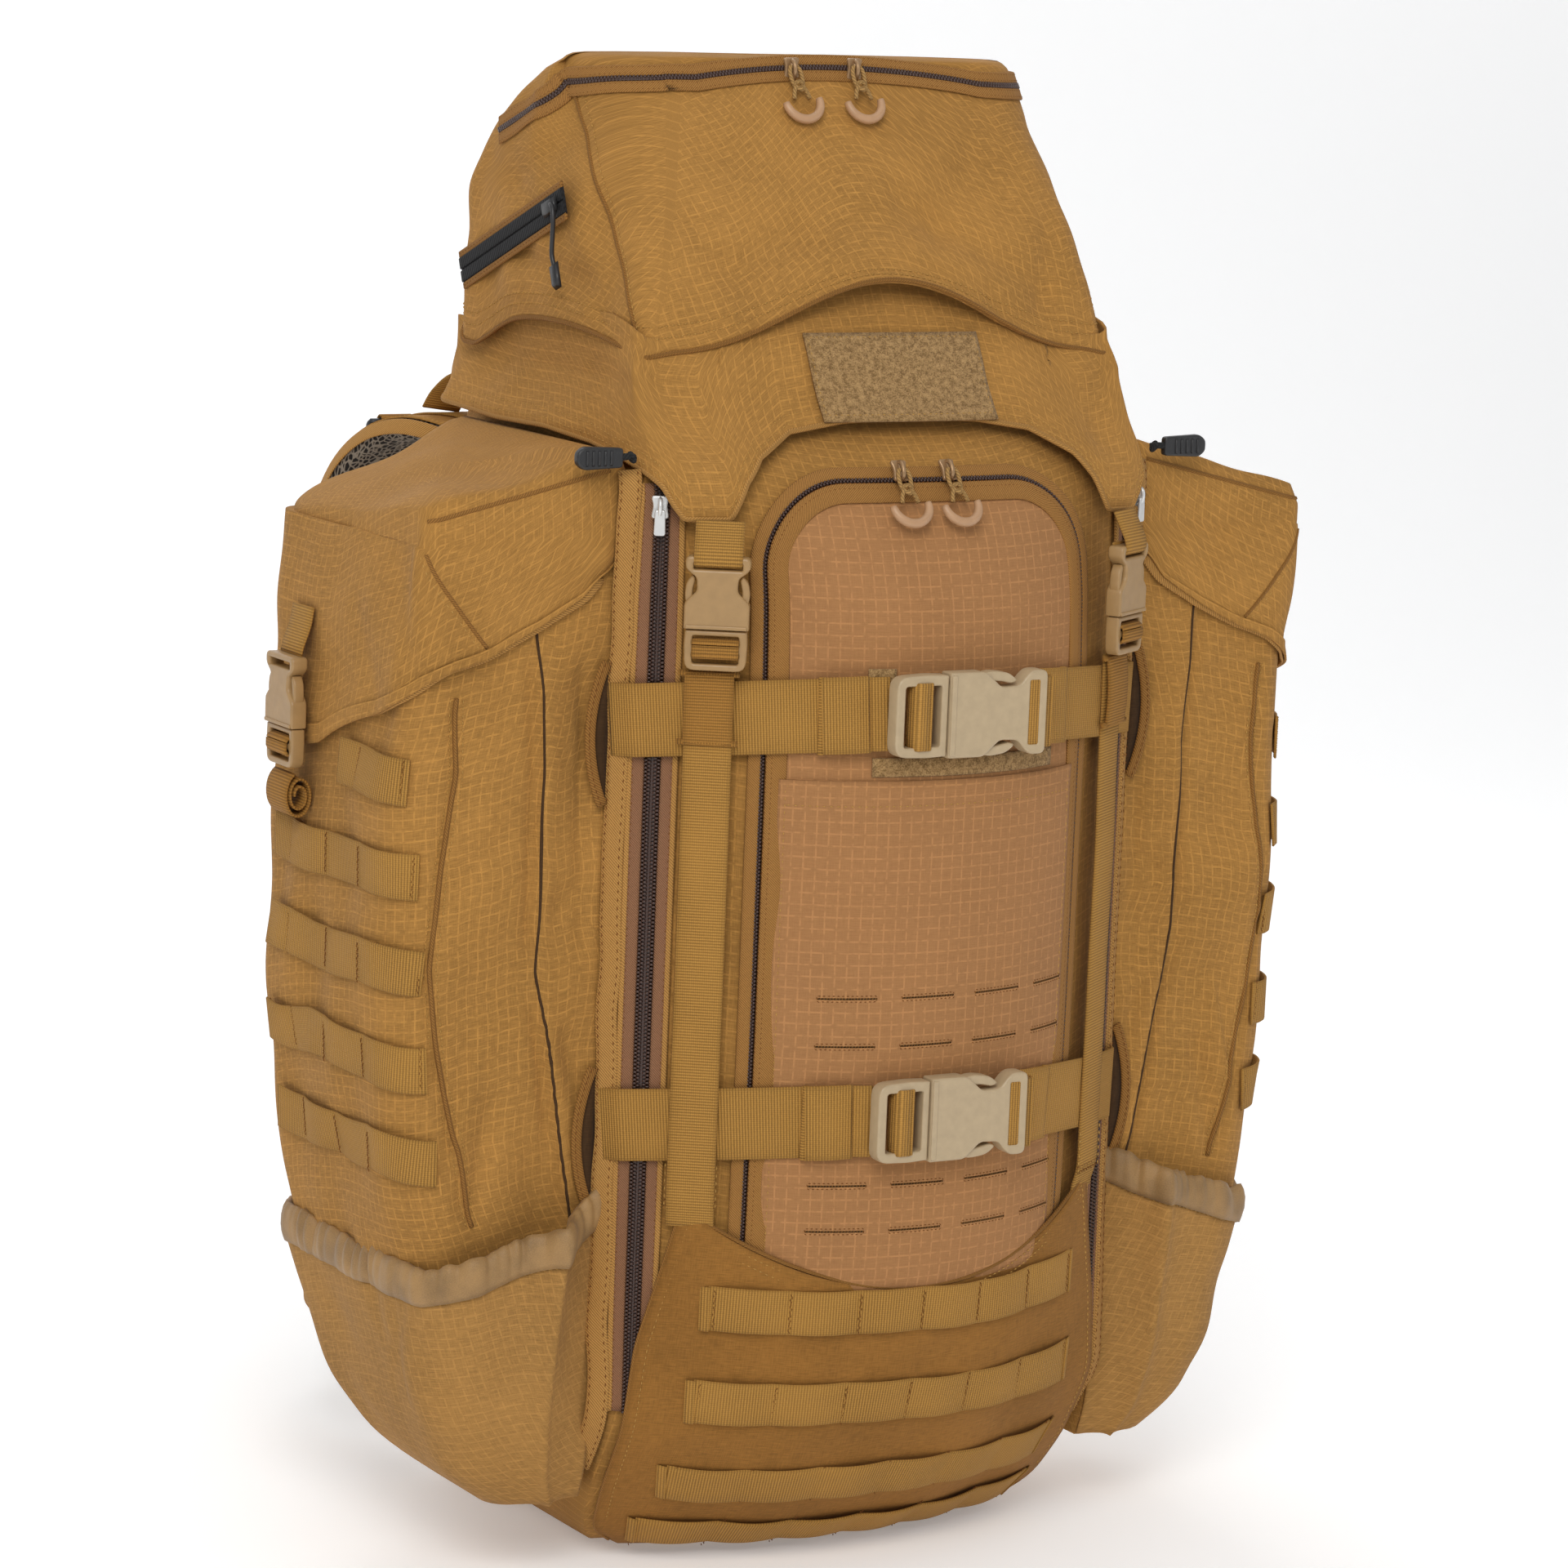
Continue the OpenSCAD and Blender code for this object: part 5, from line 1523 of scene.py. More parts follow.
def hood():
    cloth = hood_cloth()
    middle = cloth.normals[20, 115]
    if middle[1] > 0:
        cloth = Cloth(cloth.points, -1.0)
    p = cloth.points
    a, b = cloth.metric()
    lumps = 0.7 * ripples(p[..., 0] + p[..., 1], p[..., 2], 81, 60)
    lumps += crease(p[..., 0], p[..., 2], (-140, 640), (-112, 586), 9, 2.2) * (p[..., 1] < -90)
    lumps += crease(p[..., 0], p[..., 2], (140, 640), (112, 586), 9, 2.2) * (p[..., 1] < -90)
    cloth = cloth.moved(lumps * np.clip(b / 12, 0, 1))
    skirt = cloth_piece("hood", cloth, CLOTH, "hood", 1.3, 0.0, ["hood"])
    as_sheet(cloth)
    cols = np.linspace(0, 1, 300)
    thread("hood", True)
    binding = heap("hood_hem", BINDING, "hood")
    binding.tube(cloth.at(cols, 0.0, 0.6), 1.5, 8)
    for v in (0.055, 0.13):
        sew("hood", cloth.at(cols, v, 1.4), cloth.normal(cols, v), pitch=3.5)
    # loop field with its stitched border
    x, z = np.meshgrid(np.linspace(-52, 52, 40), np.linspace(609, 652, 16))
    y = hood_y(x, z) - 3.4 - 2.4 * np.sin(math.pi * np.clip((z - 600) / 75, 0, 1))
    patch = Cloth(np.stack([x, y - 1.5, z], -1), 1.0)
    if patch.normals[5, 20][1] > 0:
        patch = Cloth(patch.points, -1.0)
    cloth_piece("hood_patch", patch, LOOP, "hood", 1.1, 0.0, ["hood_patch"])
    u = np.linspace(0.02, 0.98, 80)
    for v in (0.07, 0.95):
        sew("hood", patch.at(u, v, 1.1), patch.normal(u, v), pitch=3.4)
    v = np.linspace(0.07, 0.95, 40)
    for u in (0.02, 0.98):
        sew("hood", patch.at(u, v, 1.1), patch.normal(u, v), pitch=3.4)


def lid_half(v):
    """Half width of the lid at the front and at the back, v from hem to top."""
    return (np.interp(v, [0, 0.4, 0.8, 0.93, 1], [139.5, 137, 135, 133, 130]),
            np.interp(v, [0, 0.5, 0.75, 0.93, 1], [149.5, 149.5, 147, 140, 130]))


LID_FRONT = smooth_table([(630, -154), (643, -150), (676, -138), (712, -118), (760, -90),
                          (776, -81), (786, -74), (796, -66)], 3)
LID_BACK = smooth_table([(630, 53), (700, 52), (722, 49), (756, 20), (776, -12), (790, -30)], 6)
LID_TURN = 9


def lid_corner(v):
    """Radius in plan of the lid's front corners: sharp at the hem, wide at the top."""
    return 3 + 40 * min(1, v / 0.85) ** 0.9


def lid_ring(v):
    """One closed ring of the lid, from the left front corner along the front."""
    wf, wb = (float(k) for k in lid_half(v))
    h = 644.6 + 145.0 * v
    r = lid_corner(v)
    front_x = np.linspace(-1, 1, 81) * (wf - r)
    droop = -5.0 * (1 - v) ** 3 * (np.abs(front_x) / (wf - r)) ** 6
    z = h + arch(front_x) * max(0, 1 - v * 145 / 60) + droop
    y = LID_FRONT(h) + 9 * (1 - 0.6 * v) * (front_x / 150) ** 2
    front = np.stack([front_x, y, z], 1)
    turn = np.linspace(0, math.pi / 2, LID_TURN)[1:]
    bend = np.stack([wf - r + r * np.sin(turn), y[-1] + r - r * np.cos(turn),
                     np.full(LID_TURN - 1, z[-1])], 1)
    back_y = float(LID_BACK(h))
    k = np.linspace(0, 1, 31)[1:]
    y0 = y[-1] + r
    ys = y0 + (back_y - 12 - y0) * k
    dip = 7.5 * np.sin(math.pi * np.clip(k * 1.2, 0, 1)) - 13.5 * np.clip((k - 0.62) / 0.3, 0, 1) ** 2
    dip = dip * (1 - v) ** 2 + droop[-1] * (1 - k) ** 4
    xs = wf + (wb - wf) * np.clip(k * 2.4, 0, 1) ** 0.8
    side = np.stack([xs, ys, h + dip], 1)
    turn = np.linspace(0, math.pi / 2, 7)[1:]
    low = dip[-1] * (1 - np.linspace(0.1, 1, 6))
    corner = np.stack([wb - 12 + 12 * np.cos(turn), back_y - 12 + 12 * np.sin(turn), h + low], 1)
    back = np.stack([np.linspace(wb - 12, -wb + 12, 31)[1:-1], np.full(29, back_y), np.full(29, h)], 1)
    left = np.vstack([corner[::-1], side[::-1], bend[::-1]]) * [-1, 1, 1]
    return np.vstack([front, bend, side, corner, back, left])


def lid_cloth():
    rows = [lid_ring(v) for v in np.linspace(0, 0.968, 54)]
    rim = rows[-1]
    centre = np.array([0.0, float(rim[:, 1].mean()), 0])
    for k, v in ((0.985, 0.980), (0.96, 0.990), (0.92, 0.994), (0.8, 0.997),
                 (0.6, 1.0), (0.35, 1.0), (0.1, 1.0)):
        row = rim.copy()
        row[:, :2] = centre[:2] + (rim[:, :2] - centre[:2]) * k
        row[:, 2] = 644.6 + 145 * v
        rows.append(row)
    cloth = Cloth(np.array(rows), 1.0, True)
    return cloth if cloth.normals[20, 40][1] < 0 else Cloth(cloth.points, -1.0, True)


def lid_track(cloth):
    """Grid positions of the zip: from the left rear, round the corner, to the right front."""
    p = cloth.points
    rows, cols = p.shape[:2]
    first = cols - 36 - LID_TURN + 1 + 6
    marks = [(first + 3, 746), (first + 14, 757), (first + 26, 768),
             (cols - LID_TURN + 1, 773), (cols - 4, 776), (cols, 778)]
    marks += [(cols + k, 784 - (105 * (k - 40) / 40) ** 2 / 1490) for k in range(4, 81, 4)]
    marks += [(cols + 80 + k, 776.5 - 0.2 * k) for k in range(2, LID_TURN, 2)]
    marks = np.array(marks, float)
    col = np.linspace(marks[0, 0], marks[-1, 0], 260)
    z = np.interp(col, marks[:, 0], marks[:, 1])
    col = col % cols
    v = (z - 644.6) / 145 / 0.968 * 53 / (rows - 1)
    return np.minimum(col, cols - 1.001) / (cols - 1), v


def lid():
    cloth = lid_cloth()
    p = cloth.points
    rows, cols = p.shape[:2]
    a, b = cloth.metric()
    front = np.zeros(cols)
    front[:81] = 1
    front[81:81 + LID_TURN] = np.linspace(1, 0, LID_TURN)
    front[-LID_TURN:] = np.linspace(0, 1, LID_TURN)
    v = np.linspace(0, 1, rows)[:, None]
    x, y, z = p[..., 0], p[..., 1], p[..., 2]
    puff = 3.0 * np.sin(math.pi * np.clip(v * 1.25, 0, 1)) * (1 - (x / 150) ** 4)
    lumps = 0.8 * ripples(x * 0.9, y + z, 91, 80) * np.clip(b / 40, 0, 1)
    lumps += front[None, :] * (
        crease(x, z, (-118, 668), (-30, 704), 9, 3.0) + crease(x, z, (14, 722), (118, 664), 9, 3.0)
        + crease(x, z, (-96, 742), (-10, 728), 10, 1.8) + crease(x, z, (30, 690), (84, 748), 9, 2.0)
        + crease(x, z, (96, 650), (122, 730), 8, 2.6) + crease(x, z, (-70, 664), (-112, 716), 8, 2.0)
        + crease(x, z, (-20, 690), (40, 680), 7, 1.3) + crease(x, z, (60, 680), (70, 655), 6, 1.5))
    lumps += (1 - front)[None, :] * (
        crease(y, z, (-96, 668), (10, 690), 8, 3.0) + crease(y, z, (-80, 758), (0, 716), 8, 2.2)
        + crease(y, z, (-110, 652), (-60, 700), 7, 2.4) + crease(y, z, (-50, 700), (30, 735), 8, 1.8)
        + 1.3 * ripples(y, z, 93, 40) * np.clip(b / 30, 0, 1))
    flare = 3.4 * np.exp(-b / 9) * np.exp(-(x / 95) ** 4) * front[None, :]
    edge = np.clip((rows - 6 - np.arange(rows)) / 8, 0.1, 1)[:, None]
    cloth = cloth.moved((puff * front[None, :] + lumps + flare) * edge)
    # inner lip: the hem turned back up inside
    lip = (14, 9, 5, 2, 0)
    inner = [cloth.points[k] - cloth.normals[k] * 2.2 for k in lip]
    whole = Cloth(np.concatenate([np.array(inner), cloth.points]), 1.0, True)
    whole.normals = np.concatenate([-cloth.normals[list(lip)], cloth.normals])
    piece_from_shell("lid", whole, cloth, CLOTH, "lid", ["lid"])
    # hem and its stitches
    u = np.linspace(0, 1, 420)
    heap("lid_hem", BINDING_DARK, "lid").tube(cloth.at(u, 0.0, 0.4), 1.2, 8)
    for vv in (0.05, 0.085):
        sew("lid", cloth.at(u, vv, 0.3), cloth.normal(u, vv), pitch=3.5)
    # piped seams down the two front corners
    pipe = heap("lid_piping", BINDING_DARK, "lid")
    vv = np.linspace(0.80, 0.0, 60)
    for col in (80 + LID_TURN - 1.5, cols - LID_TURN + 1.5):
        c = np.full(60, col / (cols - 1))
        pipe.tube(cloth.at(c, vv, 0.1), 1.1, 8)
        side = 1 if col < 120 else -1
        sew("lid", cloth.at(c - side * 1.0 / (cols - 1), vv, 0.3), cloth.normal(c, vv), pitch=3.6)
    # zip along the top front edge and down the left side's top edge
    col, row = lid_track(cloth)
    spot, up = cloth.at(col, row, 0.3), cloth.normal(col, row)
    ahead = unit(np.gradient(spot, axis=0))
    side = unit(np.cross(ahead, up))
    if side[130][2] < 0:
        side = -side
    tape = heap("lid_zip_tape", GOLD_TAPE, "lid")
    for off in (-4.6, 4.6):
        tape.strap(spot + side * off, up, 6.6, 1.3)
    coil = heap("lid_zip_coil", COIL, "lid")
    coil.strap(spot, up, 2.6, 1.0)
    coil.teeth(spot + up * 0.5, up, 1.9, 1.7, 1.2)
    for off in (-6.4, -2.9, 2.9, 6.4):
        sew("lid", spot + side * off + up * 1.2, up, True, pitch=2.8, length=2.0)
    # daisy chain across the rear of the top
    x = np.linspace(-126, 126, 110)
    z = 764 + 4.0 * np.abs(np.sin((x + 126) / 252 * math.pi * 6)) - 0.0006 * x ** 2
    low = np.array([[q, 12.0, zz] for q, zz in zip(x, z + 4)])
    heap("lid_chain", WEB[25], "lid").strap(low, np.tile([0, 0.62, 0.78], (110, 1)), 24, 1.6)
    return cloth


def lid_side_zip():
    fall = math.radians(21.8)
    ahead = np.array([0, math.cos(fall), -math.sin(fall)])
    rise = np.array([0, math.sin(fall), math.cos(fall)])
    start = np.array([-149.4, -74, 708.0])
    y = np.linspace(0, 124, 50)
    path = start + ahead * y[:, None] + rise * 7 + np.array([-0.9, 0, 0])
    out = np.tile([-1.0, 0, 0], (50, 1))
    zip_heap = Heap()
    zip_heap.strap(path, out, 15, 1.0)
    zip_heap.strap(path + rise * 3.6 + [-1.0, 0, 0], out, 6.4, 0.9)
    zip_heap.strap(path - rise * 3.6 + [-1.0, 0, 0], out, 6.4, 0.9)
    zip_heap.build("lid_side_zip", BLACK_TAPE, "lid", ["lid_side_zip"])
    for off in (-8.6, 8.6):
        edge = path + rise * off + [-0.1, 0, 0]
        heap("lid_zip_edge", BINDING_DARK, "lid").strap(edge, out, 4, 1.3)
        sew("lid", edge + [-1.3, 0, 0], out, True, pitch=3.4)
    slider = Heap()
    centre = start + ahead * 12 + rise * 7 + np.array([-4.0, 0, 0])
    slider.brick(centre, ahead, rise, np.array([-1.0, 0, 0]), (7.5, 4, 2.4))
    cord = [centre + [-2.0, 0, 0] + ahead * k[0] + rise * k[1] + np.array([-k[2], 0, 0])
            for k in ((-5, 0, 0.2), (-8, -3, 1.0), (-7, -10, 1.2),
                      (-3, -18, 1.0), (1, -26, 0.8), (0, -32, 0.6))]
    slider.tube(spline(np.array(cord), 24), 1.3, 8)
    end = np.array(cord[-1]) + [0.8, 0, 0] - rise * 5
    slider.brick(end, ahead, rise, np.array([-1.0, 0, 0]), (3.4, 7, 2.6))
    slider.build("lid_side_slider", BLACK_PLASTIC, "lid_side_slider", ["lid_side_slider"])


# ---------- sliders and pulls ----------


def slider_shape(target, place):
    """Zip slider: wedge body on the tape side, bridge on top (local z outwards)."""
    corners = [(4.8, 6, 2), (3.4, 1, 2), (4.6, -5.6, 2), (-4.6, -5.6, 2), (-3.4, 1, 2), (-4.8, 6, 2)]
    body = rounded(corners[::-1], 2)
    plate(target, place, [body], 2.2, 0.3, 0.7)
    bridge = np.array([[0, 4.6, 2.0], [0, 4.0, 4.6], [0, 1.5, 5.9], [0, -2, 5.6], [0, -4.4, 4.2], [0, -4.9, 2.2]])
    target.tube(place(spline(bridge, 14, 2)), 1.2, 8)
    target.brick(place([[0, 0, 2.2]])[0], place.x, place.y, place.z, (1.1, 4.2, 1.4))


def cord_loop(name, body, at):
    """Knotted cord through the slider and the bent moulded tip hanging on it."""
    cord = Heap()
    top = np.array([[-1.6, -0.4, 4.4], [-3.3, -3.0, 4.6], [-3.4, -8, 4.3], [-2.2, -12.5, 4.3], [0.6, -15, 5.4],
                    [2.4, -13.2, 4.2], [3.2, -8, 4.3], [3.2, -3.2, 4.6], [1.6, -0.4, 4.4]])
    cord.tube(at(spline(top, 50, 2)), 1.15, 8)
    knot = np.array([[-2.6, -11, 4.4], [0, -9.8, 6.2], [2.8, -11.2, 4.6], [0, -13.4, 3.2], [-2.6, -11, 4.4]])
    cord.tube(at(spline(knot, 20, 2)), 1.1, 8)
    for s in (-1, 1):
        leg = np.array([[s * 1.6, -12, 4.6], [s * 3.6, -15, 4.6], [s * 4.6, -19.5, 4.4]])
        cord.tube(at(spline(leg, 10, 2)), 1.15, 8)
    cord.build(f"{name}_cord", CORD, body)
    tip = Heap()
    turn = np.linspace(math.pi * 1.02, math.tau + 0.15, 22)
    ring = np.stack([np.cos(turn) * 10.2, -21 + np.sin(turn) * 10.2, np.full(22, 4.4)], 1)
    radius = 2.5 - 0.6 * np.abs(np.linspace(-1, 1, 22)) ** 3
    tip.tube(at(ring), radius, 10)
    tip.build(name, PULL_PLASTIC, body, [name])


def lid_place(x):
    a = math.asin(x / 745)
    origin = np.array([745 * math.sin(a), -77.6, 784 - 745 + 745 * math.cos(a)])
    return Place(origin, (math.sin(a), 0, math.cos(a)), (0, -1, 0))


def tilted(place, shift, lean):
    """A place moved outwards by shift and leaned back about its x direction."""
    c, s = math.cos(math.radians(lean)), math.sin(math.radians(lean))
    out = Place(place.origin, place.y, place.z)
    y = place.y * c + place.z * -s
    z = place.z * c + place.y * s
    out.y, out.z = unit(y), unit(z)
    out.x = np.cross(out.y, out.z)
    out.origin = place.origin + place.z * shift
    return out


def front_slide_place(x):
    z = 582.0
    r = 22500 / 2 / 33.5
    a = math.asin(x / r)
    base = np.array([0, float(front_y(0, z)) + r, 0])
    out = np.array([math.sin(a), -math.cos(a), 0])
    lean = math.radians(33)
    foot = base + out * r + np.array([0, 0, z])
    normal = out * math.cos(lean) + np.array([0, 0, math.sin(lean)])
    along = -out * math.sin(lean) * -1.0 * -1 + np.array([0, 0, math.cos(lean)])
    along = np.array([0, 0, math.cos(lean)]) - out * math.sin(lean)
    return Place(foot + normal * 6.0, along, normal)


def pulls():
    for k, (name, s) in enumerate(SIDES):
        place = lid_place((-24, 14)[k])
        slide = Heap()
        slider_shape(slide, place)
        slide.build(f"lid_slider_{name}", SLIDER, f"lid_slider_{name}", [f"lid_slider_{name}"])
        cord_loop(f"lid_pull_{name}", f"lid_pull_{name}", tilted(place, 0.0, 31 * 0.96))
        place = front_slide_place((-19, 9)[k])
        slide = Heap()
        slider_shape(slide, place)
        slide.build(f"front_slider_{name}", SLIDER, f"front_slider_{name}", [f"front_slider_{name}"])
        cord_loop(f"front_pull_{name}", f"front_pull_{name}", place)
        place = at_front(s * 140, 567, 5.6)
        slide = Heap()
        slider_shape(slide, place)
        tab = [(2.6, -1, 1), (3.0, -14, 1.5), (-3.0, -14, 1.5), (-2.6, -1, 1)]
        plate(slide, place, [rounded(tab[::-1], 1)], 1.3, 4.4, 0.5)
        slide.build(f"side_slider_{name}", SLIDER_SILVER, f"side_slider_{name}", [f"side_slider_{name}"])
        corner_pull(name, s)


def corner_pull(name, s):
    x0 = s * 157.0
    target = Heap()
    place = Place((x0 + s * 6, -166, 592), (0, 0, 1), (0, -1, 0))
    corners = [(0, 5, 2), (0, -5, 2), (22, -6, 2), (26, -3, 2), (26, 3, 2), (22, 6, 2)]
    body = rounded(corners[::-1 if s > 0 else 1], 2)
    body = [(s * abs(q[0]), q[1]) for q in body]
    plate(target, place, [body if s < 0 else body[::-1]], 4.8, -2.4, 1.1)
    for k in range(5):
        rib = place([[s * (7 + 3.4 * k), 0, 2.3]])[0]
        target.brick(rib, place.x, place.y, place.z, (0.7, 4.2, 0.7))
    target.build(f"corner_pull_{name}", BLACK_PLASTIC, f"corner_pull_{name}", [f"corner_pull_{name}"])
    cord = Heap()
    line = np.array([[x0 - s * 1.5, -165, 592], [x0 + s * 2, -166.4, 592.6],
                     [x0 + s * 5, -166.4, 592.3], [x0 + s * 8, -166, 592]])
    cord.tube(line, 1.8, 10)
    knot = np.array([[x0, -168.4, 592], [x0 + s * 1.4, -166, 594.6], [x0 + s * 0.6, -163.6, 592],
                     [x0 - s * 1.2, -166, 589.4], [x0, -168.4, 592]])
    cord.tube(spline(knot, 20, 2), 1.3, 8)
    cord.build(f"corner_pull_{name}_cord", CORD_BLACK, f"corner_pull_{name}")


# ---------- harness ----------

STRAP_PATH = [(62, 84, 541), (70, 98, 554), (78, 118, 564), (88, 142, 570), (98, 166, 570),
              (107, 188, 562), (115, 206, 545), (121, 216, 522), (125, 220, 496), (127, 221, 466),
              (127, 221, 432), (126, 220, 398), (125, 218, 364), (123, 212, 330), (122, 204, 302)]


def pillow(centre_path, normals, width, thick, cols=34, edge=0.34, seed=1):
    """A closed soft band along a path: full in the middle with thin sewn edges."""
    p = np.asarray(centre_path, float)
    n = unit(np.asarray(normals, float))
    along = unit(np.gradient(p, axis=0))
    side = unit(np.cross(along, n))
    run = lengths(p)
    turn = np.arange(cols) / cols * math.tau
    cx = np.sign(np.cos(turn)) * np.abs(np.cos(turn)) ** 0.55
    cy = np.sign(np.sin(turn)) * np.abs(np.sin(turn)) ** edge
    cy = cy * (1 - 0.62 * np.clip((np.abs(cx) - 0.86) / 0.14, 0, 1))
    end = np.clip(np.minimum(run, run[-1] - run) / (thick * 1.1), 0, 1) ** 0.5
    w = width / 2 * (0.90 + 0.10 * end)
    t = thick / 2 * (0.25 + 0.75 * end)
    grid = p[:, None] + side[:, None] * (cx[None, :] * w[:, None])[..., None] \
        + n[:, None] * (cy[None, :] * t[:, None])[..., None]
    soft = 0.6 * ripples(run[:, None] + 0 * turn[None, :], cx[None, :] * width / 2 + 200 * (cy[None, :] > 0), seed, 40)
    soft = soft * (np.abs(cy)[None, :] > 0.4)
    grid = grid - n[:, None] * (np.sign(cy)[None, :] * np.abs(soft) * 0.7)[..., None]
    return grid, side, n, run


def shoulder_straps():
    for name, s in SIDES:
        path = spline(np.array(STRAP_PATH) * [s, 1, 1], 110, 3)
        d = np.gradient(path, axis=0)
        n = unit(np.stack([np.zeros(len(d)), d[:, 2], -d[:, 1]], 1))
        grid, side, n, run = pillow(path, n, 63.5, 13.6, seed=111 + s)
        cloth = Cloth(grid, 1.0, True)
        if np.sum((cloth.normals[50] * (grid[50] - path[50]))) < 0:
            cloth = Cloth(grid, -1.0, True)
        obj = shell_piece(f"shoulder_strap_{name}", cloth, MESH, "bag", [f"shoulder_strap_{name}"])
        # outer face of golden cloth, with binding along both edges and a webbing ladder
        outward = n
        if outward[60] @ np.array([0, 1.0, 0]) < 0:
            outward = -outward
        w = np.linspace(-1, 1, 15)
        rows = [path[k] + side[k] * (w * 28.5)[:, None] + outward[k] * (6.9 - 1.2 * np.abs(w) ** 4)[:, None]
                for k in range(3, 107)]
        skin = Cloth(np.array(rows), 1.0)
        if np.sum(skin.normals[50, 7] * outward[53]) < 0:
            skin = Cloth(np.array(rows), -1.0)
        cloth_piece(f"strap_cloth_{name}", skin, CLOTH, "bag", 1.0, 0.2)
        for sign in (-1, 1):
            edge = path[2:108] + side[2:108] * sign * 31.0
            out = outward[2:108]
            heap("strap_binding", BINDING, "bag").strap(edge + out * 1.0, side[2:108] * sign + out * 0.3, 9, 1.2)
            sew("bag", skin.at(np.full(90, 0.5 + sign * 0.46), np.linspace(0, 1, 90), 1.2),
                skin.normal(np.full(90, 0.5 + sign * 0.46), np.linspace(0, 1, 90)), pitch=3.6)
        v = np.linspace(0.16, 0.96, 90)
        lift = np.abs(np.sin(v * 14))
        ladder = heap("strap_webbing", WEB[25], "bag")
        middle = np.full(90, 0.5)
        ladder.strap(skin.at(middle, v, 1.2 + 0.7 * lift), skin.normal(middle, v), 25, 1.5)
        for k in np.linspace(0.17, 0.95, 9):
            n0 = skin.normal(0.5, k)
            spot = skin.at(0.5, k, 3.2)
            sd = side[int(3 + k * 103)]
            bartack("bag", spot - sd * 11, spot + sd * 11, n0)
        d_ring(name, s)


def d_ring(name, s):
    origin = np.array([s * 112.0, 201, 570])
    lean = math.radians(-38)
    ring = Heap()
    turn = np.linspace(0, math.pi, 30)
    rot = np.array([[1, 0, 0], [0, math.cos(lean), -math.sin(lean)], [0, math.sin(lean), math.cos(lean)]])
    # the CAD ring is a half circle in the plane through the bar, leaning by -38 degrees
    flat = np.stack([15 * np.cos(turn), 15 * np.sin(turn), 0 * turn], 1) @ rot.T
    bar = np.stack([np.linspace(15, -15, 10), np.zeros(10), np.zeros(10)], 1)
    loop = np.vstack([flat, bar[::-1][1:-1]])
    ring.tube(origin + loop, 2.0, 12, closed=True)
    ring.build(f"d_ring_{name}", RING, f"d_ring_{name}", [f"d_ring_{name}"])
    keeper = heap("ring_keepers", WEB_DEEP, "bag")
    turn = np.linspace(-0.3, math.pi + 0.3, 16)
    path = np.stack([np.full(16, origin[0]), origin[1] + 3.6 * np.cos(turn),
                     origin[2] + 3.6 * np.sin(turn)], 1)
    nrm = np.stack([np.zeros(16), np.cos(turn), np.sin(turn)], 1)
    keeper.strap(path - nrm * 0.6, nrm, 20, 1.2)


def pads():
    def block(name, x, z, w, h, t, shade, seed, cells, replaces=()):
        """One quilted pad on the back: y grows towards the wearer from y 72.2."""
        u, v = np.meshgrid(np.linspace(-1, 1, 46), np.linspace(-1, 1, 60))
        full = np.clip((1 - np.abs(u) ** 6) * (1 - np.abs(v) ** 6), 0, 1) ** 0.5
        rise = 73.0 + (t - 1.4) * full
        for k in cells:
            rise = rise - 3.2 * np.exp(-(((v - k) * h / 2) / 4.5) ** 2) * full
        rise = rise - 0.7 * np.abs(ripples(u * w / 2, v * h / 2, seed, 40)) * full
        pts = np.stack([x + u * w / 2, rise, z + v * h / 2], -1)
        top = Cloth(pts, 1.0)
        if top.normals[30, 23][1] < 0:
            top = Cloth(pts, -1.0)
        n, m = pts.shape[:2]
        flat = pts.copy()
        flat[..., 1] = 72.4
        points = np.concatenate([pts.reshape(-1, 3), flat.reshape(-1, 3)])
        turn = top.sign() < 0
        faces = grid_faces(n, m, False, 0, turn) + grid_faces(n, m, False, n * m, not turn)
        rims = [list(range(m)), [(n - 1) * m + i for i in range(m)][::-1],
                [j * m for j in range(n)][::-1], [j * m + m - 1 for j in range(n)]]
        for rim in rims:
            for a, b in zip(rim, rim[1:]):
                q = (a, a + n * m, b + n * m, b)
                faces.append(q[::-1] if turn else q)
        uv = np.concatenate([pts[..., [0, 2]].reshape(-1, 2)] * 2)
        obj = piece(name, points, faces, shade, "bag", uv, replaces)
        rim = np.array([pts[0, i] for i in range(m)] + [pts[j, -1] for j in range(1, n)]
                       + [pts[-1, i] for i in range(m - 2, -1, -1)] + [pts[j, 0] for j in range(n - 2, 0, -1)])
        inward = rim - [x, 0, z]
        rim = rim - inward * [0.012, 0, 0.012] + [0, 0.3, 0]
        heap("pad_binding", BINDING, "bag").tube(rim, 1.7, 8, closed=True)
        return obj

    made = []
    for s in (-1, 1):
        side = "left" if s < 0 else "right"
        made.append(block(f"back_pad_upper_{side}", s * 62, 475, 95, 109, 15.6, MESH, 121 + s, (0,)))
        made.append(block(f"back_pad_lower_{side}", s * 62, 295, 95, 189, 15.6, MESH, 123 + s, (-0.34, 0.34)))
    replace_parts(made[0], "back_pads")
    block("lumbar_pad", 0, 109, 179, 129, 25.4, MESH, 127, (-0.1,), ["lumbar_pad"])


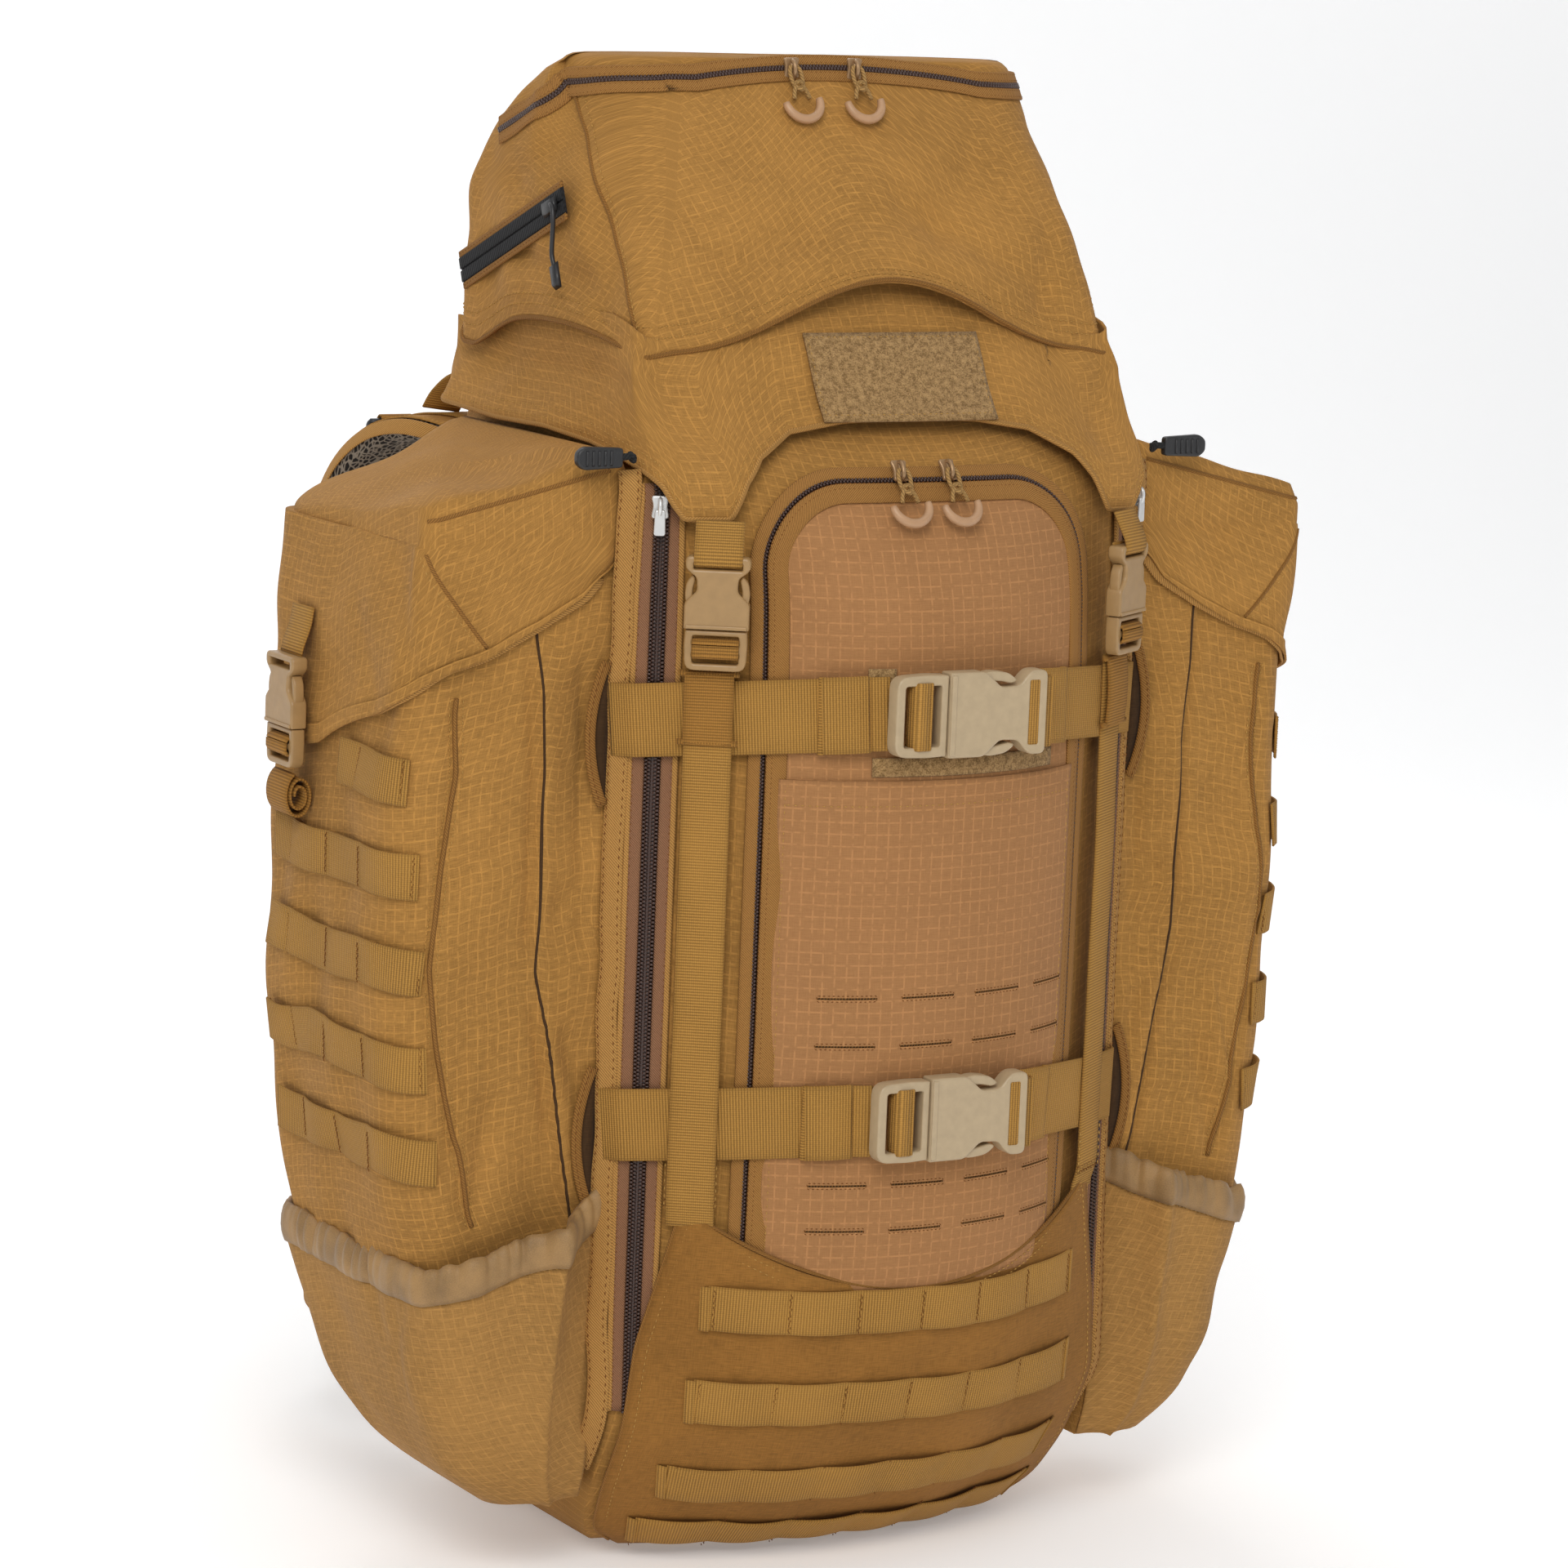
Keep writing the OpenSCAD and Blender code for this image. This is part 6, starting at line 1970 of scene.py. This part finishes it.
def back_parts():
    def slab(name, x0, x1, y0, y1, z0, z1, r, shade, replaces):
        place = Place((0, y0, 0), (0, 0, 1), (0, 1, 0))
        target = Heap()
        plate(target, place, [box_loop(-x1, -x0, z0, z1, r)], y1 - y0, 0, min(1.2, (y1 - y0) * 0.4))
        target.build(name, shade, "bag", replaces)
    slab("back_panel", -138, 138, 66.8, 71.4, 30, 598, 30, CLOTH_GRID, ["back_panel"])
    slab("frame_sheet", -125, 125, 60.6, 62.2, 45, 580, 20, FOAM_PLASTIC, ["frame_sheet"])
    stays = Heap()
    for s in (-1, 1):
        place = Place((s * 70, 62.8, 0), (0, 0, 1), (0, 1, 0))
        plate(stays, place, [box_loop(-12.5, 12.5, 50, 575, 5)], 3.2, 0, 0.8)
    stays.build("frame_stays", ALLOY, "bag", ["frame_stays"])
    for off in (6, 11):
        loop = np.array(box_loop(-138 + off, 138 - off, 30 + off, 598 - off, 26))
        path = np.column_stack([loop[:, 0], np.full(len(loop), 71.5), loop[:, 1]])
        path = resample(np.vstack([path, path[:1]]), 420)
        sew("bag", path, np.array([0, 1.0, 0]), pitch=3.8)
    for z in (350, 400, 540):
        x = np.linspace(-120, 120, 40)
        path = np.column_stack([x, np.full(40, 71.2), np.full(40, float(z) if z != 400 else 405.0)])
        if z == 405:
            continue
        heap("back_webbing", WEB[25], "bag").strap(path, np.tile([0, 1.0, 0], (40, 1)), 22, 1.3)


def sweep_rings(points, count):
    path = spline(np.array(points, float), count, 2)
    d = np.gradient(path, axis=0)
    n = unit(np.stack([np.zeros(len(d)), -d[:, 2], d[:, 1]], 1))
    return path, n


def harness_webbing():
    for s in (-1, 1):
        web = heap("load_lifters", WEB[25], "bag")
        path, n = sweep_rings([(s * 66, 74, 595), (s * 78, 96, 603), (s * 88, 120, 607), (s * 96, 142, 603),
                               (s * 101, 156, 591), (s * 103, 162, 581)], 40)
        web.strap(path - n * 0.8, n, 24.5, 1.5)
        low = heap("shoulder_webbing", WEB[25], "bag")
        path, n = sweep_rings([(s * 122, 201, 298), (s * 122, 173, 256), (s * 122, 141, 216),
                               (s * 122, 107, 184), (s * 122, 82, 168)], 60)
        low.strap(path - n * 0.8, n, 24.5, 1.5)
    for kind in ("load_lifters", "shoulder_webbing"):
        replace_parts(female_object(kind, WEB[25], "bag"), kind)


def sternum():
    place = Place((-4, 235, 444), (1, 0, 0), (0, 1, 0))
    strap = Heap()
    for s in (-1, 1):
        x = np.linspace(s * 127 - 18, s * 127 + 18, 14)
        pad = np.column_stack([x, np.full(14, 228.9), np.full(14, 444.0)])
        strap.strap(pad, np.tile([0, 1.0, 0], (14, 1)), 24, 1.5)
        for z in (438, 450):
            loop = np.column_stack([x[3:-3], np.full(8, 230.6), np.full(8, float(z))])
            strap.strap(loop, np.tile([0, 1.0, 0], (8, 1)), 8, 1.2)
    for start, end, rise_at in ((-110, -24, -30), (30, 110, 34)):
        x = np.linspace(start, end, 30)
        y = 232.6 + 1.4 * np.exp(-((x - rise_at) / 14) ** 2)
        strap.strap(np.column_stack([x, y, np.full(30, 444.0)]), np.tile([0, 1.0, 0], (30, 1)), 20, 1.5)
    strap.build("sternum_webbing", WEB[20], "sternum_strap")
    female = Heap()
    female_half(female, place, 26, 34, 8)
    female.build("sternum_strap", TAN_PLASTIC, "sternum_strap", ["sternum_strap"])
    male = Heap()
    male_half(male, place, 26, 20, 8, 24)
    male.build("sternum_male", TAN_PLASTIC, "sternum_male", ["sternum_male"])


def hip_wings():
    for name, s in SIDES:
        a = np.radians(np.linspace(-39.3, 51.3, 70))
        centre = np.array([28.0, 178.0, 102.0])
        path = np.stack([(centre[0] + 118 * np.cos(a)) * s, centre[1] + 118 * np.sin(a),
                         np.full(70, 102.0)], 1)
        n = np.stack([np.cos(a) * s, np.sin(a), np.zeros(70)], 1)
        grid, side, n, run = pillow(path, n, 99, 14.4, seed=131 + s)
        cloth = Cloth(grid, 1.0, True)
        if np.sum(cloth.normals[35] * (grid[35] - path[35])) < 0:
            cloth = Cloth(grid, -1.0, True)
        obj = shell_piece(f"hip_wing_{name}", cloth, MESH, f"hip_wing_{name}", [f"hip_wing_{name}"])
        w = np.linspace(-1, 1, 21)
        rows = [path[k] + np.array([0, 0, 1.0]) * (w * 45)[:, None] + n[k] * (7.0 - 1.0 * np.abs(w) ** 4)[:, None]
                for k in range(2, 68)]
        skin = Cloth(np.array(rows), 1.0)
        if skin.normals[30, 10] @ n[32] < 0:
            skin = Cloth(np.array(rows), -1.0)
        cloth_piece(f"wing_cloth_{name}", skin, CLOTH, f"hip_wing_{name}", 0.5, 0.0)
        body = f"hip_wing_{name}"
        for h in (-48, 48):
            edge = path[1:69] + [0, 0, h]
            up = np.tile([0, 0, math.copysign(1, h)], (68, 1))
            heap("wing_binding", BINDING, body).strap(edge + n[1:69] * -0.5, up, 9, 1.2)
        for h in (-22, 22):
            v = np.linspace(0.08, 0.92, 60)
            c = np.full(60, 0.5 + h / 90)
            heap("wing_webbing", WEB[25], body).strap(skin.at(c, v, 0.2), skin.normal(c, v), 24, 0.9)
            for k in np.linspace(0.1, 0.9, 6):
                spot = skin.at(0.5 + h / 90, k, 1.1)
                bartack(body, spot - [0, 0, 10.5], spot + [0, 0, 10.5], skin.normal(0.5, k))
        # the belt's end: webbing into the buckle
        b = math.radians(52)
        out = np.array([math.cos(b) * s, math.sin(b), 0])
        ahead = np.array([-math.sin(b) * s, math.cos(b), 0])
        tip = np.array([(28 + 118 * math.cos(b)) * s, 178 + 118 * math.sin(b) + 0.4, 102])
        if s < 0:
            place = Place(tip - out * 5 + ahead * 26, ahead, out)
            male = Heap()
            male_half(male, place, 48, 24, 10, 30)
            male.build("hip_buckle_male", TAN_PLASTIC, body, ["hip_buckle_male"])
            k = np.linspace(-6, 19, 12)
        else:
            place = Place(tip - out * 5 + ahead * 44, -ahead, out)
            female = Heap()
            female_half(female, place, 48, 34, 10)
            female.build("hip_buckle_female", TAN_PLASTIC, body, ["hip_buckle_female"])
            k = np.linspace(-6, 14, 12)
        path = tip + ahead * k[:, None] - out * 0.8
        heap("hip_straps", WEB[38], body).strap(path, np.tile(out, (12, 1)), 37.5, 1.6)


def haul_handle():
    z0, y0 = 584.0, 79.0
    handle = Heap()
    for s in (-1, 1):
        path = np.array([[s * 22.6, y0 - 0.5, z0 + 1.5], [s * 23.4, y0 - 1.0, z0 - 12],
                         [s * 23.4, y0 - 0.6, z0 - 24], [s * 21.0, y0, z0 - 34]])
        handle.strap(spline(path, 20, 2), np.tile([0, 1.0, 0], (20, 1)), 4.6, 1.6)
    handle.tube(np.column_stack([np.linspace(-25.6, 25.6, 16), np.full(16, y0), np.full(16, z0)]), 1.9, 10)
    handle.build("haul_handle_webbing", WEB_DEEP, "haul_handle")
    x = np.linspace(-25.6, 25.6, 24)
    t = np.arange(18) / 18 * math.tau
    bulk = 1 - 0.3 * (np.abs(x) / 25.6) ** 4
    grid = np.stack(np.broadcast_arrays(x[:, None], y0 + 4.7 * np.sin(t)[None, :] * bulk[:, None],
                                        z0 - 38 + 5.6 * np.cos(t)[None, :] * bulk[:, None]), -1)
    cloth = Cloth(grid, 1.0, True)
    if np.sum(cloth.normals[12] * (grid[12] - [x[12], y0, z0 - 38])) < 0:
        cloth = Cloth(grid, -1.0, True)
    shell_piece("haul_handle", cloth, CLOTH_DARK, "haul_handle", ["haul_handle"])


# ---------- put together ----------

bag_shell()
front_panel()
panel_pocket()
front_zip()
side_zips()
bottom_bucket()
bucket_pals()
vertical_straps()
compression_straps()
buckles()
pods()
strap_openings()
hood()
lid()
lid_side_zip()
pulls()
shoulder_straps()
pads()
back_parts()
harness_webbing()
sternum()
hip_wings()
haul_handle()

STANDS_FOR = {"front_zip_tape": ["front_zip"], "side_zip_tape": ["side_zips"],
              "ladder_webbing": ["bucket_pals", "pod_pals"], "vertical_webbing": ["vertical_straps"],
              "compression_webbing": ["compression_straps"], "lid_zip_tape": ["lid_zip"]}
for key, (box, shade, body, flat) in list(HEAPS.items()):
    kind = key[:-len(body) - 1]
    box.build(key, shade, body, STANDS_FOR.get(kind, ()), flat)

# ---------- floor, light and camera ----------


def stage_mesh():
    bend = np.linspace(0.15, math.pi / 2, 12)
    y = np.concatenate([[-4.0], np.linspace(-1.5, 1.6, 10), 1.6 + 0.9 * np.sin(bend)])
    z = np.concatenate([np.zeros(11), 0.9 - 0.9 * np.cos(bend)])
    y, z = np.append(y, 2.5), np.append(z, 4.5)
    points = [(x, a, b) for a, b in zip(y, z) for x in (-6.0, 6.0)]
    mesh = bpy.data.meshes.new("floor")
    mesh.from_pydata(points, [], [(2 * k, 2 * k + 1, 2 * k + 3, 2 * k + 2) for k in range(len(y) - 1)])
    mesh.polygons.foreach_set("use_smooth", [True] * len(mesh.polygons))
    floor = bpy.data.objects.new("floor", mesh)
    bpy.context.scene.collection.objects.link(floor)
    mat = bpy.data.materials.new("floor")
    mat.use_nodes = True
    bsdf = mat.node_tree.nodes["Principled BSDF"]
    bsdf.inputs["Base Color"].default_value = (0.93, 0.93, 0.93, 1)
    bsdf.inputs["Roughness"].default_value = 0.7
    bsdf.inputs["Emission Color"].default_value = (1, 1, 1, 1)
    bsdf.inputs["Emission Strength"].default_value = 0.22
    mesh.materials.append(mat)


def area_light(name, place, target, size, power, colour=(1, 1, 1)):
    data = bpy.data.lights.new(name, "AREA")
    data.shape = "RECTANGLE"
    data.size, data.size_y = size
    data.energy = power
    data.color = colour
    obj = bpy.data.objects.new(name, data)
    obj.location = place
    obj.rotation_euler = (Vector(target) - Vector(place)).to_track_quat("-Z", "Y").to_euler()
    bpy.context.scene.collection.objects.link(obj)


stage_mesh()
area_light("key", (-1.6, -2.4, 2.4), (0, 0, 0.35), (1.8, 1.8), 60, (1.0, 0.985, 0.96))
area_light("fill", (2.6, -1.9, 1.3), (0, 0, 0.4), (2.2, 2.2), 9, (0.96, 0.98, 1.0))
area_light("rim", (0.6, 2.2, 2.6), (0, 0, 0.5), (1.6, 1.6), 20)
area_light("top", (0, -0.2, 3.0), (0, 0, 0.4), (2.4, 2.4), 12)
world = bpy.data.worlds.new("studio")
world.use_nodes = True
world.node_tree.nodes["Background"].inputs["Color"].default_value = (0.93, 0.94, 0.96, 1)
world.node_tree.nodes["Background"].inputs["Strength"].default_value = 0.42
bpy.context.scene.world = world


def set_camera():
    az, el, roll = (math.radians(k) for k in (-30, 9.5, 2.3))
    target = Vector((0, -0.060, 0.400))
    back = Vector((math.sin(az) * math.cos(el), -math.cos(az) * math.cos(el), math.sin(el)))
    right0 = (-back).cross(Vector((0, 0, 1))).normalized()
    up0 = right0.cross(-back)
    right = right0 * math.cos(roll) + up0 * math.sin(roll)
    up = up0 * math.cos(roll) - right0 * math.sin(roll)
    data = bpy.data.cameras.new("camera")
    data.lens, data.sensor_width = 127.7, 36
    cam = bpy.data.objects.new("camera", data)
    spot = target + back * 3.0
    cam.matrix_world = Matrix(((right.x, up.x, back.x, spot.x), (right.y, up.y, back.y, spot.y),
                               (right.z, up.z, back.z, spot.z), (0, 0, 0, 1)))
    bpy.context.scene.collection.objects.link(cam)
    bpy.context.scene.camera = cam


set_camera()
